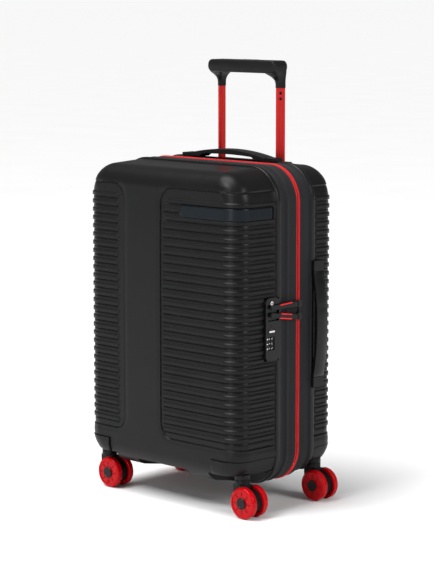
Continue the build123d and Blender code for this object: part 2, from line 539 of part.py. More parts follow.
def main():
    sockets = socket_space()
    bays = bay_space(1, 53)
    lock_room = lock_outline(150, 190)

    # back half
    back = shell(BACK_RIM, BACK_FACE, 1) - bezel_opening() - sockets
    save("back_shell", back)
    save("back_rim", band_ring(BACK_RIM_IN, BACK_RIM, proud=RIM_PROUD) - bays - sockets)
    save("back_gusset", band_ring(ZIP_BACK, BACK_RIM_IN, proud=-1.2, wall=4.0) - bays - sockets)
    save("zip_tape_back", zip_half(ZIP_MID + ZIP_SPLIT, ZIP_BACK, 3.0))
    save("back_lining", lining(BACK_RIM, BACK_FACE, 1) - bezel_opening(LINING_GAP) - socket_space(LINING_GAP))
    save("trolley_panel", back_wall())
    save("pack_straps", *pack_straps())
    save("strap_buckles", *strap_buckle())
    save("trolley_bezel", bezel())
    save("guide_tubes", *guide_tubes())
    save("base_bracket", base_bracket())
    save("castor_mounts_back", *castor_pods(BACK_RIM, BACK_FACE, 1))
    save("top_handle_sockets", *[TOP_PLACE * s for s in handle_sockets()])
    save("side_handle_sockets", *[SIDE_PLACE * s for s in handle_sockets()])

    # front half
    front = shell(FRONT_RIM, FRONT_FACE, -1) - lock_room
    badge = badge_space()
    strip = (shell_block(FRONT_RIM, FRONT_FACE, 0.5) - shell_block(FRONT_RIM, FRONT_FACE, 1.6)) & badge
    save("front_shell", front - (badge - shell_block(FRONT_RIM, FRONT_FACE, 1.6)))
    save("badge_strip", strip)
    save("front_rim", band_ring(FRONT_RIM, FRONT_RIM_IN, proud=RIM_PROUD) - lock_room)
    save("front_gusset", band_ring(FRONT_RIM_IN, ZIP_FRONT, proud=-1.2, wall=4.0) - lock_room)
    save("zip_tape_front", zip_half(ZIP_FRONT, ZIP_MID - ZIP_SPLIT, 3.0))
    save("front_lining", lining(FRONT_RIM, FRONT_FACE, -1) - lock_outline(140, 190, -1.0))
    save("castor_mounts_front", *castor_pods(FRONT_RIM, FRONT_FACE, -1))
    save("hinge_tape", block(-176.4, -175.6, 2, ZIP_MID - 0.2, HINGE_LOW, HINGE_HIGH))

    # lock
    save("lock_body", lock_body())
    save("lock_marker", rod(MARK_R, (LOCK_OUT - 1.2, LOCK_LINE, MARK_Z), (LOCK_OUT + 0.4, LOCK_LINE, MARK_Z)))
    save("dial_shaft", rod(SHAFT_R, (DIAL_X, LOCK_LINE, SHAFT_LOW), (DIAL_X, LOCK_LINE, SHAFT_HIGH)))
    for name, z in DIALS.items():
        save(name, dial(z))
    save("release_button", release_button())
    save("latch_bar", block(LOCK_BACK + 4, LOCK_BACK + 7.5, LOCK_LINE - 4, LOCK_LINE + 4, 288, 314))
    save("key_cylinder", key_cylinder())

    # zip sliders and pulls
    for name, z, tip in (("upper", 326.0, 326.0), ("lower", 306.0, 314.5)):
        save(f"zip_slider_{name}", zip_slider(z))
        save(f"zip_pull_{name}", zip_pull(z, tip))

    # carry handles
    save("top_handle", TOP_PLACE * carry_handle(15.0))
    save("side_handle", SIDE_PLACE * carry_handle(13.4))

    # trolley
    save("middle_tubes", *middle_tubes())
    save("inner_tubes", *inner_tubes())
    save("tube_rivets", *rivet_pins(1), *rivet_pins(-1))
    save("trolley_grip", grip())
    save("grip_button", grip_button())
    save("push_rods", push_rods())

    # castors
    for corner, sign_x, sign_y in (("front_left", -1, -1), ("front_right", 1, -1),
                                   ("back_left", -1, 1), ("back_right", 1, 1)):
        place = Pos(sign_x * CASTOR_X, sign_y * CASTOR_Y, 0)
        save(f"castor_fork_{corner}", place * castor_fork())
        save(f"castor_axle_{corner}", place * castor_axle())
        save(f"wheel_{corner}_a", place * castor_wheel(-1))
        save(f"wheel_{corner}_b", place * castor_wheel(1))


main()
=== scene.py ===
import bpy
import bmesh
import math
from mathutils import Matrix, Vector, noise


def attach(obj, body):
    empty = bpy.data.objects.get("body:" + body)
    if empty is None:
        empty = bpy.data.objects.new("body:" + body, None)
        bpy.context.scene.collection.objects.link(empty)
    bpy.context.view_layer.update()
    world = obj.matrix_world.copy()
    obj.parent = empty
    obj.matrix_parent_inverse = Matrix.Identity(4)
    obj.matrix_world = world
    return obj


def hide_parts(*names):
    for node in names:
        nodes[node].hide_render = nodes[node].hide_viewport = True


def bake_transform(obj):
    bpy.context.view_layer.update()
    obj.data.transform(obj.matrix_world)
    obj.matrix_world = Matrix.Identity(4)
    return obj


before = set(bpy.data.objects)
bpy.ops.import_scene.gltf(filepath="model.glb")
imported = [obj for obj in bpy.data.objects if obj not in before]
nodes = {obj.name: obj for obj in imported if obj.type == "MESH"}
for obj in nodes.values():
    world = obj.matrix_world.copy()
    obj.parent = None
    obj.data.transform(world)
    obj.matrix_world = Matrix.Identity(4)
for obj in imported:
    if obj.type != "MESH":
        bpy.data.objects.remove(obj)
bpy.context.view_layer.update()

# Every number below is in millimetres about the middle of the case, as in the CAD. The frame's
# origin is CASE_X away, at the centre of the footprint. at() turns a point into frame metres.
MM = 0.001
CASE_X = -8.0

BAND_HALF, BAND_LOW, BAND_HIGH, BAND_CORNER = 175.0, 38.0, 541.0, 57.0
FRONT_RIM, FRONT_FACE, BACK_RIM, BACK_FACE = -30.0, -117.0, 57.5, 116.0
ZIP_FRONT, ZIP_MID, ZIP_BACK = 14.9, 18.6, 22.4
FACE_HALF, FACE_LOW, FACE_HIGH, FACE_CORNER = 171.5, 55.0, 534.0, 47.0
RIM_SHIFT_X, RIM_SHIFT_TOP, RIM_SHIFT_LOW, RIM_GROW = -6.0, -3.0, -7.0, 8.0
EDGE_RADIUS = 32.0
SHELL_WALL = 2.5
CROWN, CROWN_REACH, FACE_MIDDLE = 2.6, 250.0, 295.0   # how far the face falls back towards its edges
RIB_COUNT, RIB_PITCH, RIB_TOP, RIB_DEPTH = 28, 13.48, 486.0, 1.8
RIB_HALF = 2.3
RIB_STATIONS = (-5.4, -4.4, -3.8, -3.3, -2.8, -2.3, -1.4, 1.4, 2.3, 2.8, 3.3, 3.8, 4.4, 5.4, 6.74)
PANEL_LOW, PANEL_HIGH, PANEL_CORNER = 107.0, 507.0, 25.0
RIGHT_PANEL, LEFT_PANEL, BACK_PANEL, PANEL_SPLIT = 4.0, -78.0, 90.0, -60.0
RIB_STARTS = {0: 23.5, 2: 17.0}
CASTOR_X, CASTOR_Y, TRAIL, WHEEL_R = 151.4, 82.2, 14.8, 24.9
POD_X, POD_LOW, POD_HIGH, BAY_R = 116.0, 66.0, 89.0, 47.0
HINGE_LOW, HINGE_HIGH = 110.0, 470.0
ZIP_MEETS, ZIP_DARK = 316.5, 7.0     # where the two zip sliders meet, and how far the zip is black there
BADGE_LOW, BADGE_HIGH, BADGE_LEFT, BADGE_CORNER = 462.0, 481.6, 46.0, 9.0
BADGE_DEPTH, BADGE_GAP, BADGE_THICK, BADGE_DARK_FROM = 0.9, 0.55, 0.7, -88.0
TOOTH_GAP, TOOTH_CORNER_STEPS = 1.7, 53     # spacing of the zip teeth, and how many go round a corner
LOCK_Y, LOCK_Z, LOCK_LINE, LOCK_OUT = -41.5, 291.5, -44.0, 176.8
DIALS = {"dial_upper": 277.2, "dial_middle": 269.7, "dial_lower": 262.3}
DIAL_X, DIAL_R, DIGIT_SIZE, DIGIT_LIFT = 170.2, 7.12, 3.8, 0.06
TUBE_X, TUBE_Y = 66.0, 95.0
TUBE_OUTLINE = [(-6.0, 5.5), (6.0, 5.5), (7.5, 4.0), (7.5, 1.0), (4.2, -6.0), (2.4, -6.8), (-2.4, -6.8),
                (-4.2, -6.0), (-7.5, 1.0), (-7.5, 4.0)]
RIVETS, RIVET_R, RIVET_IN, RIVET_OUT = (647.7, 638.6), 2.4, 3.6, 5.62
LEG_INSIDE, LEG_FRONT, LEG_BACK = 46.0, 72.0, 102.4
GRIP_LOW, GRIP_HIGH, GRIP_FRONT, GRIP_BACK, GRIP_HALF = 679.5, 700.0, 71.0, 102.5, 75.0
BUTTON_HALF, BUTTON_FRONT, BUTTON_BACK, BUTTON_LOW = 18.4, 79.6, 99.0, 691.0
# height, and share of the way from the tube's outline to the bar's end
GRIP_LEG = [(656.0, 0.0), (662.0, 0.0), (666.5, 0.05), (670.0, 0.16), (673.5, 0.36), (676.5, 0.6),
            (679.0, 0.82), (682.0, 0.97), (688.0, 1.0)]
TRAY_HALF, TRAY_WALL, TRAY_FRONT, TRAY_BACK = 80.5, 2.5, 67.0, 107.0
TRAY_LOW, TRAY_FLOOR, TRAY_TOP, TRAY_FLOOR_THICK = 492.0, 517.5, 537.0, 3.0
TRAY_END, TRAY_END_FLOOR, GUIDE_TOP, GUIDE_GROW = 33.0, 504.0, 497.0, 3.0
HUB_CAP = [(0.2, 18.2), (8.8, 18.2), (9.1, 18.6), (9.1, 19.3), (8.5, 19.9), (6.0, 20.05), (5.6, 19.7),
           (0.2, 19.6)]                     # radius, and distance from the middle of the castor
WHEEL_MARKS, MARK_IN, MARK_OUT, MARK_HALF, MARK_LOW, MARK_HIGH = 8, 12.0, 17.6, 0.6, 17.6, 18.02
STRAP_IN, STRAP_OUT, STRAP_HALF, STRAP_Y, STRAP_SAG, STRAP_THICK = 14.0, 160.0, 12.0, 73.4, 1.2, 1.3
STRAPS = (("upper_left", -1, 330), ("upper_right", 1, 330), ("lower_left", -1, 250), ("lower_right", 1, 250))
COVER_HALF, COVER_LOW, COVER_HIGH, COVER_Y = 163.0, 96.0, 480.0, 76.7
COVER_FOLD, COVER_SEAM, COVER_THICK = 1.8, 30.0, 0.9
LINING_OUT, LINING_IN = 4.6, 6.4            # distances in from the outside of the shell
LINING_OUT_LOW, LINING_IN_LOW = 3.4, 5.2    # the same over the castor pods


def at(x, y, z):
    return Vector(((x + CASE_X) * MM, y * MM, z * MM))


def smooth(t):
    t = min(1.0, max(0.0, t))
    return t * t * (3 - 2 * t)


def between(a, b, count):
    """count + 1 evenly spaced numbers from a to b."""
    return [a + (b - a) * i / count for i in range(count + 1)]


# ---------------------------------------------------------------- materials
class Nodes:
    """Small builder for one procedural material."""

    def __init__(self, name, colour, rough, **sockets):
        self.material = bpy.data.materials.new(name)
        self.material.use_nodes = True
        self.tree = self.material.node_tree
        self.shader = self.tree.nodes["Principled BSDF"]
        self.shader.inputs["Base Color"].default_value = (*colour, 1)
        self.shader.inputs["Roughness"].default_value = rough
        for key, value in sockets.items():
            self.shader.inputs[key.replace("_", " ")].default_value = value
        self.coord = self.add("ShaderNodeTexCoord")
        self.normal = None

    def add(self, kind, **values):
        node = self.tree.nodes.new(kind)
        for key, value in values.items():
            if hasattr(node, key):
                setattr(node, key, value)
            else:
                node.inputs[key.replace("_", " ")].default_value = value
        return node

    def link(self, out, into):
        self.tree.links.new(out, into)

    def noise(self, scale, detail=3.0, rough=0.5, stretch=(1, 1, 1), coord="Object"):
        mapping = self.add("ShaderNodeMapping")
        mapping.inputs["Scale"].default_value = stretch
        self.link(self.coord.outputs[coord], mapping.inputs["Vector"])
        node = self.add("ShaderNodeTexNoise", Scale=scale, Detail=detail, Roughness=rough)
        self.link(mapping.outputs["Vector"], node.inputs["Vector"])
        return node.outputs["Fac"]

    def wave(self, scale, direction, coord="UV", profile="SIN", distort=0.0):
        node = self.add("ShaderNodeTexWave", Scale=scale, Distortion=distort)
        node.wave_type = "BANDS"
        node.bands_direction = direction
        node.wave_profile = profile
        self.link(self.coord.outputs[coord], node.inputs["Vector"])
        return node.outputs["Fac"]

    def math(self, operation, a, b):
        node = self.add("ShaderNodeMath", operation=operation)
        for socket, value in zip(node.inputs, (a, b)):
            if isinstance(value, (int, float)):
                socket.default_value = value
            else:
                self.link(value, socket)
        return node.outputs[0]

    def ramp(self, fac, low, high, start=0.3, end=0.7):
        """Mix of two colours by a factor, from start to end."""
        node = self.add("ShaderNodeValToRGB")
        node.color_ramp.elements[0].position = start
        node.color_ramp.elements[1].position = end
        node.color_ramp.elements[0].color = (*low, 1)
        node.color_ramp.elements[1].color = (*high, 1)
        self.link(fac, node.inputs["Fac"])
        return node.outputs["Color"]

    def colour(self, fac, low, high, start=0.3, end=0.7):
        self.link(self.ramp(fac, low, high, start, end), self.shader.inputs["Base Color"])
        return self

    def roughness(self, fac, low, high):
        node = self.add("ShaderNodeMapRange")
        node.inputs["To Min"].default_value = low
        node.inputs["To Max"].default_value = high
        self.link(fac, node.inputs["Value"])
        self.link(node.outputs["Result"], self.shader.inputs["Roughness"])
        return self

    def bump(self, height, distance, strength=1.0):
        """Bump of the given height in millimetres, stacked on the last one."""
        node = self.add("ShaderNodeBump", Strength=strength, Distance=distance * MM)
        self.link(height, node.inputs["Height"])
        if self.normal:
            self.link(self.normal, node.inputs["Normal"])
        self.normal = node.outputs["Normal"]
        self.link(self.normal, self.shader.inputs["Normal"])
        return self


def grained(name, colour, rough, grain=1500.0, depth=0.05, spread=0.25, **sockets):
    """Moulded plastic: fine grain, faint mottling and uneven gloss."""
    made = Nodes(name, colour, rough, **sockets)
    low = tuple(c * (1 - spread) for c in colour)
    high = tuple(c * (1 + spread) for c in colour)
    made.colour(made.noise(22.0, 5.0, 0.6), low, high)
    made.roughness(made.noise(60.0, 4.0), rough - 0.05, rough + 0.06)
    made.bump(made.noise(grain, 2.0), depth)
    return made


def woven(name, colour, rough, warp, weft, depth, coord="UV", **sockets):
    """Woven tape or cloth: crossed threads, with painted shade between them and painted light on their
    crossings.
    """
    made = Nodes(name, colour, rough, **sockets)
    threads = made.math("MULTIPLY", made.wave(warp, "X", coord), made.wave(weft, "Y", coord))
    # painted light and shade: the colour follows the thread relief, darker where the threads dip, lighter on
    # their crossings
    low = tuple(c * 0.45 for c in colour)
    high = tuple(c * 1.35 for c in colour)
    made.colour(threads, low, high, 0.0, 0.8)
    made.bump(threads, depth)
    made.bump(made.noise(900.0, 3.0), depth * 0.4)
    return made


def dark_between(made):
    """Black stretch of zip between the two sliders on the lock side."""
    axes = made.add("ShaderNodeSeparateXYZ")
    made.link(made.coord.outputs["Object"], axes.inputs[0])
    offset = made.math("ABSOLUTE", made.math("SUBTRACT", axes.outputs["Z"], ZIP_MEETS * MM), 0.0)
    far = made.math("GREATER_THAN", offset, ZIP_DARK * MM)
    other_side = made.math("LESS_THAN", axes.outputs["X"], 0.15)
    shade = made.math("MAXIMUM", made.math("MAXIMUM", far, other_side), 0.01)
    scaled = made.add("ShaderNodeVectorMath", operation="SCALE")
    made.link(made.shader.inputs["Base Color"].links[0].from_socket, scaled.inputs[0])
    made.link(shade, scaled.inputs["Scale"])
    made.link(scaled.outputs["Vector"], made.shader.inputs["Base Color"])
    return made


def crossed(name, colour, rough, depth, **sockets):
    """Plain lining cloth: threads in both directions, too fine to show one by one."""
    made = Nodes(name, colour, rough, **sockets)
    across = made.noise(1400.0, 2.0, 0.5, (0.06, 1, 1))
    along = made.noise(1400.0, 2.0, 0.5, (1, 1, 0.06))
    threads = made.math("MULTIPLY", across, along)
    made.colour(threads, tuple(c * 0.8 for c in colour), tuple(c * 1.2 for c in colour), 0.1, 0.45)
    made.bump(threads, depth)
    return made


def materials():
    m = {}
    m["shell"] = grained("shell", (0.0066, 0.0067, 0.0071), 0.34, 1700.0, 0.03, 0.12,
                         Specular_IOR_Level=0.14).material
    m["rim"] = grained("rim", (0.0066, 0.0066, 0.0071), 0.32, 1500.0, 0.025, 0.12,
                       Specular_IOR_Level=0.2).material
    m["black"] = grained("black_plastic", (0.0055, 0.0055, 0.0057), 0.36, 1300.0, 0.03, 0.2,
                         Specular_IOR_Level=0.16).material
    m["rubber"] = grained("handle_rubber", (0.0072, 0.0073, 0.0079), 0.38, 1100.0, 0.03, 0.12,
                          Specular_IOR_Level=0.16).material
    m["badge_dark"] = grained("badge_end", (0.0022, 0.0045, 0.0072), 0.26, 900.0, 0.01, 0.1,
                              Specular_IOR_Level=0.14).material
    m["badge"] = grained("badge", (0.0035, 0.0066, 0.0098), 0.3, 900.0, 0.01, 0.1,
                         Specular_IOR_Level=0.16).material
    m["gloss_black"] = grained("hub_cap", (0.006, 0.0055, 0.0055), 0.24, 800.0, 0.01, 0.2,
                               Specular_IOR_Level=0.2).material
    m["gusset"] = woven("gusset", (0.010, 0.0105, 0.0125), 0.8, 260.0, 330.0, 0.12,
                        Sheen_Weight=0.08, Sheen_Roughness=0.4, Specular_IOR_Level=0.25).material
    m["zip_cloth"] = dark_between(woven("zip_cloth", (0.62, 0.012, 0.014), 0.75, 300.0, 300.0, 0.1,
                                        Sheen_Weight=0.15, Sheen_Roughness=0.4)).material
    m["coil"] = dark_between(grained("zip_coil", (0.85, 0.016, 0.02), 0.4, 900.0, 0.02, 0.1,
                                     Specular_IOR_Level=0.3)).material
    m["cord"] = grained("pull_cord", (0.78, 0.014, 0.018), 0.5, 900.0, 0.02, 0.1,
                        Specular_IOR_Level=0.2).material
    m["webbing"] = woven("webbing", (0.02, 0.02, 0.021), 0.8, 220.0, 420.0, 0.2,
                         Sheen_Weight=0.2, Sheen_Roughness=0.4).material
    m["lining"] = crossed("lining", (0.07, 0.071, 0.077), 0.8, 0.08,
                          Sheen_Weight=0.3, Sheen_Roughness=0.35).material
    wheel = grained("wheel", (0.42, 0.001, 0.004), 0.22, 600.0, 0.01, 0.06,
                    Coat_Weight=0.04, Coat_Roughness=0.1, Subsurface_Weight=0.1, Specular_IOR_Level=0.12)
    wheel.shader.inputs["Subsurface Scale"].default_value = 0.004
    wheel.shader.inputs["Subsurface Radius"].default_value = (1.0, 0.15, 0.1)
    m["wheel"] = wheel.material
    tube = Nodes("red_alloy", (0.56, 0.018, 0.016), 0.3, Metallic=0.6, Specular_IOR_Level=0.3)
    strokes = tube.noise(900.0, 4.0, 0.6, (1, 1, 0.01))
    tube.colour(strokes, (0.42, 0.012, 0.012), (0.60, 0.026, 0.022))
    tube.roughness(strokes, 0.26, 0.4).bump(strokes, 0.02)
    m["red_alloy"] = tube.material
    steel = Nodes("steel", (0.5, 0.5, 0.52), 0.25, Metallic=1.0)
    brushed = steel.noise(1500.0, 3.0, 0.5, (1, 1, 0.05))
    steel.colour(brushed, (0.4, 0.4, 0.42), (0.6, 0.6, 0.62)).roughness(brushed, 0.2, 0.34)
    m["steel"] = steel.bump(brushed, 0.01).material
    chrome = Nodes("chrome", (0.55, 0.55, 0.57), 0.16, Metallic=1.0)
    haze = chrome.noise(200.0, 4.0)
    m["chrome"] = chrome.colour(haze, (0.5, 0.5, 0.52), (0.6, 0.6, 0.62)).roughness(haze, 0.1, 0.2).material
    alloy = Nodes("tube_alloy", (0.3, 0.3, 0.32), 0.35, Metallic=0.9)
    drawn = alloy.noise(900.0, 4.0, 0.6, (1, 1, 0.01))
    m["alloy"] = alloy.colour(drawn, (0.24, 0.24, 0.26), (0.36, 0.36, 0.38)).bump(drawn, 0.02).material
    m["dark_red"] = grained("wheel_mark", (0.13, 0.002, 0.004), 0.35, 900.0, 0.01, 0.1,
                            Specular_IOR_Level=0.12).material
    m["dial"] = grained("dial", (0.004, 0.004, 0.0045), 0.35, 900.0, 0.01, 0.2,
                        Specular_IOR_Level=0.15).material
    m["lock"] = grained("lock_plate", (0.0035, 0.0037, 0.0042), 0.28, 1100.0, 0.02, 0.15,
                        Specular_IOR_Level=0.2).material
    m["white"] = grained("white_mark", (0.75, 0.75, 0.76), 0.4, 900.0, 0.01, 0.04).material
    m["red_mark"] = grained("red_mark", (0.35, 0.02, 0.015), 0.4, 900.0, 0.01, 0.1).material
    m["button"] = grained("button", (0.023, 0.023, 0.025), 0.35, 1200.0, 0.02).material
    return m


MAT = materials()


# ---------------------------------------------------------------- mesh helpers
def new_piece(name, mesh, body, material, angle=35.0):
    """Object from a mesh, smooth but for edges sharper than angle, riding on a body."""
    mesh.materials.clear()
    mesh.materials.append(MAT[material])
    obj = bpy.data.objects.new(name, mesh)
    bpy.context.scene.collection.objects.link(obj)
    mesh.shade_smooth()
    mesh.set_sharp_from_angle(angle=math.radians(angle))
    if body:
        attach(obj, body)
    return obj


def raw_mesh(name, verts, faces, uvs=None):
    """Mesh from case millimetres; uvs holds one pair for each vertex."""
    mesh = bpy.data.meshes.new(name)
    mesh.from_pydata([at(*v) for v in verts], [], faces)
    if uvs:
        layer = mesh.uv_layers.new(name="UVMap")
        for loop in mesh.loops:
            layer.data[loop.index].uv = uvs[loop.vertex_index]
    mesh.validate()
    shape = bmesh.new()
    shape.from_mesh(mesh)
    bmesh.ops.recalc_face_normals(shape, faces=shape.faces)
    shape.to_mesh(mesh)
    shape.free()
    return mesh


def cutter(name, verts, faces):
    obj = bpy.data.objects.new(name, raw_mesh(name, verts, faces))
    bpy.context.scene.collection.objects.link(obj)
    return obj


def box_faces(x0, x1, y0, y1, z0, z1):
    """Vertices and faces of a box."""
    verts = [(x, y, z) for x in (x0, x1) for y in (y0, y1) for z in (z0, z1)]
    return verts, [(0, 1, 3, 2), (4, 6, 7, 5), (0, 4, 5, 1), (2, 3, 7, 6), (0, 2, 6, 4), (1, 5, 7, 3)]


def box_cutter(x0, x1, y0, y1, z0, z1):
    return cutter("cut", *box_faces(x0, x1, y0, y1, z0, z1))


def prism(points, lift):
    """Cutter between a closed outline of 3-D points and the same outline moved by lift."""
    count = len(points)
    verts = list(points) + [tuple(a + b for a, b in zip(p, lift)) for p in points]
    faces = [tuple(range(count)), tuple(range(2 * count - 1, count - 1, -1))]
    faces += [(i, (i + 1) % count, count + (i + 1) % count, count + i) for i in range(count)]
    return cutter("cut", verts, faces)


def carved(mesh, cutters, operation="DIFFERENCE"):
    """The mesh with each cutter taken out of it."""
    obj = bpy.data.objects.new("carving", mesh)
    bpy.context.scene.collection.objects.link(obj)
    for tool in cutters:
        step = obj.modifiers.new("cut", "BOOLEAN")
        step.operation = operation
        step.object = tool
        step.solver = "MANIFOLD"
    graph = bpy.context.evaluated_depsgraph_get()
    result = bpy.data.meshes.new_from_object(obj.evaluated_get(graph))
    for tool in [obj, *cutters]:
        bpy.data.objects.remove(tool)
    return result


# ---------------------------------------------------------------- shells
def wall_grow(nx, nz):
    """How far the wall moves outwards from the face to the rim, for an outward normal."""
    shift_z = RIM_SHIFT_TOP if nz > 0 else RIM_SHIFT_LOW
    return RIM_SHIFT_X * abs(nx) + shift_z * nz + RIM_GROW


class Half:
    """One half of the case as a rounded, drafted block, with an inset and a skin relief."""

    def __init__(self, side, inset=0.0, rows=None, columns=None, corner_steps=6, arc=None, wall_steps=3,
                 relief=None):
        self.side, self.inset, self.relief = side, inset, relief
        self.face = FRONT_FACE if side < 0 else BACK_FACE
        self.rim = FRONT_RIM if side < 0 else BACK_RIM
        self.depth = abs(self.face - self.rim)
        self.radius = EDGE_RADIUS - inset
        self.arc = arc or between(0, 1, 5)
        self.wall_steps = wall_steps
        self.n = corner_steps
        self.rows, self.columns = rows or [], columns or []
        self.verts, self.faces, self.index = [], [], {}

    def reach(self, nx, nz):
        """Distance from the face outline in to where the edge rounding starts, and the draft."""
        draft = math.atan2(wall_grow(nx, nz), self.depth)
        return self.radius * (1 - math.sin(draft)) / math.cos(draft), draft

    def emit(self, x, out, z, normal):
        """Vertex at depth out beyond the face plane (0 on it, growing towards the rim)."""
        y = self.face - self.side * (out + self.inset)
        bulge = CROWN * min(1.0, (x / FACE_HALF) ** 2 + ((z - FACE_MIDDLE) / CROWN_REACH) ** 4)
        fade = max(0.0, 1 - out / self.radius)
        y -= self.side * bulge * fade
        point = Vector((x, y, z))
        if self.relief:
            point -= Vector(normal) * self.relief(point, self)
        self.verts.append(tuple(point))
        return len(self.verts) - 1

    def build(self):
        half, low, high = FACE_HALF - self.inset, FACE_LOW + self.inset, FACE_HIGH - self.inset
        corner = FACE_CORNER - self.inset
        cx, top_z, low_z = half - corner, high - corner, low + corner
        n = self.n
        out = (0, self.side, 0)
        columns = [-cx] + [c for c in self.columns if -cx + 1 < c < cx - 1] + [cx]
        rows = [low_z] + [r for r in self.rows if low_z + 0.5 < r < top_z - 0.5] + [top_z]
        # grid coordinates: (sign, fraction) inside a corner band, or the value itself in the middle
        grid_x = [(-1, f) for f in between(1, 0, n)[:-1]] + [(0, c) for c in columns] + \
                 [(1, f) for f in between(0, 1, n)[1:]]
        grid_z = [(-1, f) for f in between(1, 0, n)[:-1]] + [(0, r) for r in rows] + \
                 [(1, f) for f in between(0, 1, n)[1:]]

        def place(gx, gz):
            """Point in the face plane with the direction of its nearest outline."""
            bx, bz = (gx[1] if gx[0] else 0.0), (gz[1] if gz[0] else 0.0)
            base_x = gx[0] * cx if gx[0] else gx[1]
            base_z = (top_z if gz[0] > 0 else low_z) if gz[0] else gz[1]
            if gx[0] and gz[0]:
                ux, uz = bx * math.sqrt(1 - bz * bz / 2), bz * math.sqrt(1 - bx * bx / 2)
                length = math.hypot(ux, uz)
                nx, nz = (gx[0] * ux / length, gz[0] * uz / length)
            else:
                length = max(bx, bz)
                nx, nz = gx[0] * 1.0, gz[0] * 1.0
            if length == 0:
                return base_x, base_z, 0, 0, 0
            span = corner - self.reach(nx, nz)[0]
            return base_x + nx * length * span, base_z + nz * length * span, nx, nz, length

        for i, gx in enumerate(grid_x):
            for j, gz in enumerate(grid_z):
                x, z, *_ = place(gx, gz)
                self.index[i, j] = self.emit(x, 0.0, z, out)
        wide, tall = len(grid_x), len(grid_z)
        for i in range(wide - 1):
            for j in range(tall - 1):
                self.faces.append((self.index[i, j], self.index[i + 1, j],
                                   self.index[i + 1, j + 1], self.index[i, j + 1]))
        loop = [(i, 0) for i in range(wide - 1)] + [(wide - 1, j) for j in range(tall - 1)]
        loop += [(i, tall - 1) for i in range(wide - 1, 0, -1)] + [(0, j) for j in range(tall - 1, 0, -1)]
        rings = [[self.index[key] for key in loop]]
        steps = self.arc[1:]
        places = []
        for i, j in loop:
            places.append(place(grid_x[i], grid_z[j])[:4])
        for t in steps:
            ring = []
            for x, z, nx, nz in places:
                draft = self.reach(nx, nz)[1]
                angle = t * (math.pi / 2 - draft)
                out_by = self.radius * math.sin(angle)
                deep = self.radius * (1 - math.cos(angle))
                normal = (nx * math.sin(angle), self.side * math.cos(angle), nz * math.sin(angle))
                ring.append(self.emit(x + nx * out_by, deep, z + nz * out_by, normal))
            rings.append(ring)
        for k in range(1, self.wall_steps + 1):
            ring = []
            for x, z, nx, nz in places:
                draft = self.reach(nx, nz)[1]
                start = self.radius * (1 - math.sin(draft))
                last = self.depth - self.inset + (0 if self.relief or not self.inset else 6.0)
                deep = start + (last - start) * k / self.wall_steps
                out_by = self.radius * math.cos(draft) + (deep - start) * math.tan(draft)
                ring.append(self.emit(x + nx * out_by, deep, z + nz * out_by, (nx, 0, nz)))
            rings.append(ring)
        size = len(loop)
        for a, b in zip(rings, rings[1:]):
            for k in range(size):
                m = (k + 1) % size
                self.faces.append((a[k], a[m], b[m], b[k]))
        self.last = rings[-1]
        return self

    def solid(self, name):
        """Closed solid, capped flat at the rim."""
        return raw_mesh(name, self.verts, self.faces + [tuple(reversed(self.last))])


def rib_rows():
    """Heights of the mesh rows: close together at the flanks of each rib."""
    rows = [103.5, 105.5, 106.3, 106.8, 107.3, 107.8, 108.3, 108.9, 109.6, 110.5, 113.0]
    for i in range(RIB_COUNT):
        z = RIB_TOP - RIB_PITCH * i
        rows += [z + d for d in RIB_STATIONS]
    return sorted(r for r in rows if r < 487)


def panel_depth(x, y, z, side):
    """Distance inside the rib panel's outline, and distance from its inner edge, both in mm."""
    if side > 0:
        run = abs(x) - BACK_PANEL
    elif x > PANEL_SPLIT:
        run = x - RIGHT_PANEL
    else:
        run = LEFT_PANEL - x
    dz = min(z - PANEL_LOW, PANEL_HIGH - z)
    # distance inside a rounded rectangle that is open towards the side of the case
    if run < PANEL_CORNER and dz < PANEL_CORNER:
        inside = PANEL_CORNER - math.hypot(PANEL_CORNER - run, PANEL_CORNER - dz)
    else:
        inside = min(run, dz)
    rim_gap = (FRONT_RIM - y) if side < 0 else (y - BACK_RIM)
    return min(inside, (rim_gap - 1.2) * 1.5), run


def relief(point, half):
    """Depth of the skin's panels, ribs and badge recess below the plain surface."""
    x, y, z = point
    inside, run = panel_depth(x, y, z, half.side)
    if inside <= -9.0:
        return 0.0
    # sloped border outside the panel, then a sharp little step at its edge
    border = 0.5 * smooth((inside + 9.0) / 8.0)
    step = smooth((inside + 0.6) / 1.2)
    groove = 0.9 * step * (1 - smooth((inside - 1.0) / 1.4))
    depth = border * (1 - step) + RIB_DEPTH * step + groove
    rib = round((RIB_TOP - z) / RIB_PITCH)
    rib = min(RIB_COUNT - 1, max(0, rib))
    below = (RIB_TOP - RIB_PITCH * rib) - z
    away = abs(below)
    start = RIB_STARTS.get(rib, 10.0) - RIGHT_PANEL if half.side < 0 and x > PANEL_SPLIT else 15.0
    rim_gap = (FRONT_RIM - y) if half.side < 0 else (y - BACK_RIM)
    end_gap = min(run - start, rim_gap - 3.5)
    round_end = max(0.0, 2.6 - end_gap)
    away = math.hypot(away, round_end) if end_gap < 2.6 else away
    bar = 1 - smooth((away - RIB_HALF) / (1.3 if below > 0 else 2.6))
    if below > 0:
        depth += 0.7 * (1 - bar) * (1 - smooth((away - RIB_HALF - 1.6) / 1.6)) * smooth(end_gap + 0.5) * step
    depth -= RIB_DEPTH * bar * smooth(end_gap + 0.5)
    if half.side < 0 and x > 40:
        badge = badge_inside(x, y, z)
        if badge > -1.0:
            dip = smooth(badge + 0.5)
            depth = depth * (1 - dip) + 1.7 * dip
    return depth


def badge_inside(x, y, z):
    """Distance inside the outline of the badge recess, negative outside."""
    dx = x - BADGE_LEFT
    dz = min(z - BADGE_LOW, BADGE_HIGH - z)
    dy = FRONT_RIM - 2 - y
    if dx < BADGE_CORNER and dz < BADGE_CORNER:
        return BADGE_CORNER - math.hypot(BADGE_CORNER - dx, BADGE_CORNER - dz)
    return min(dx, dz, dy)


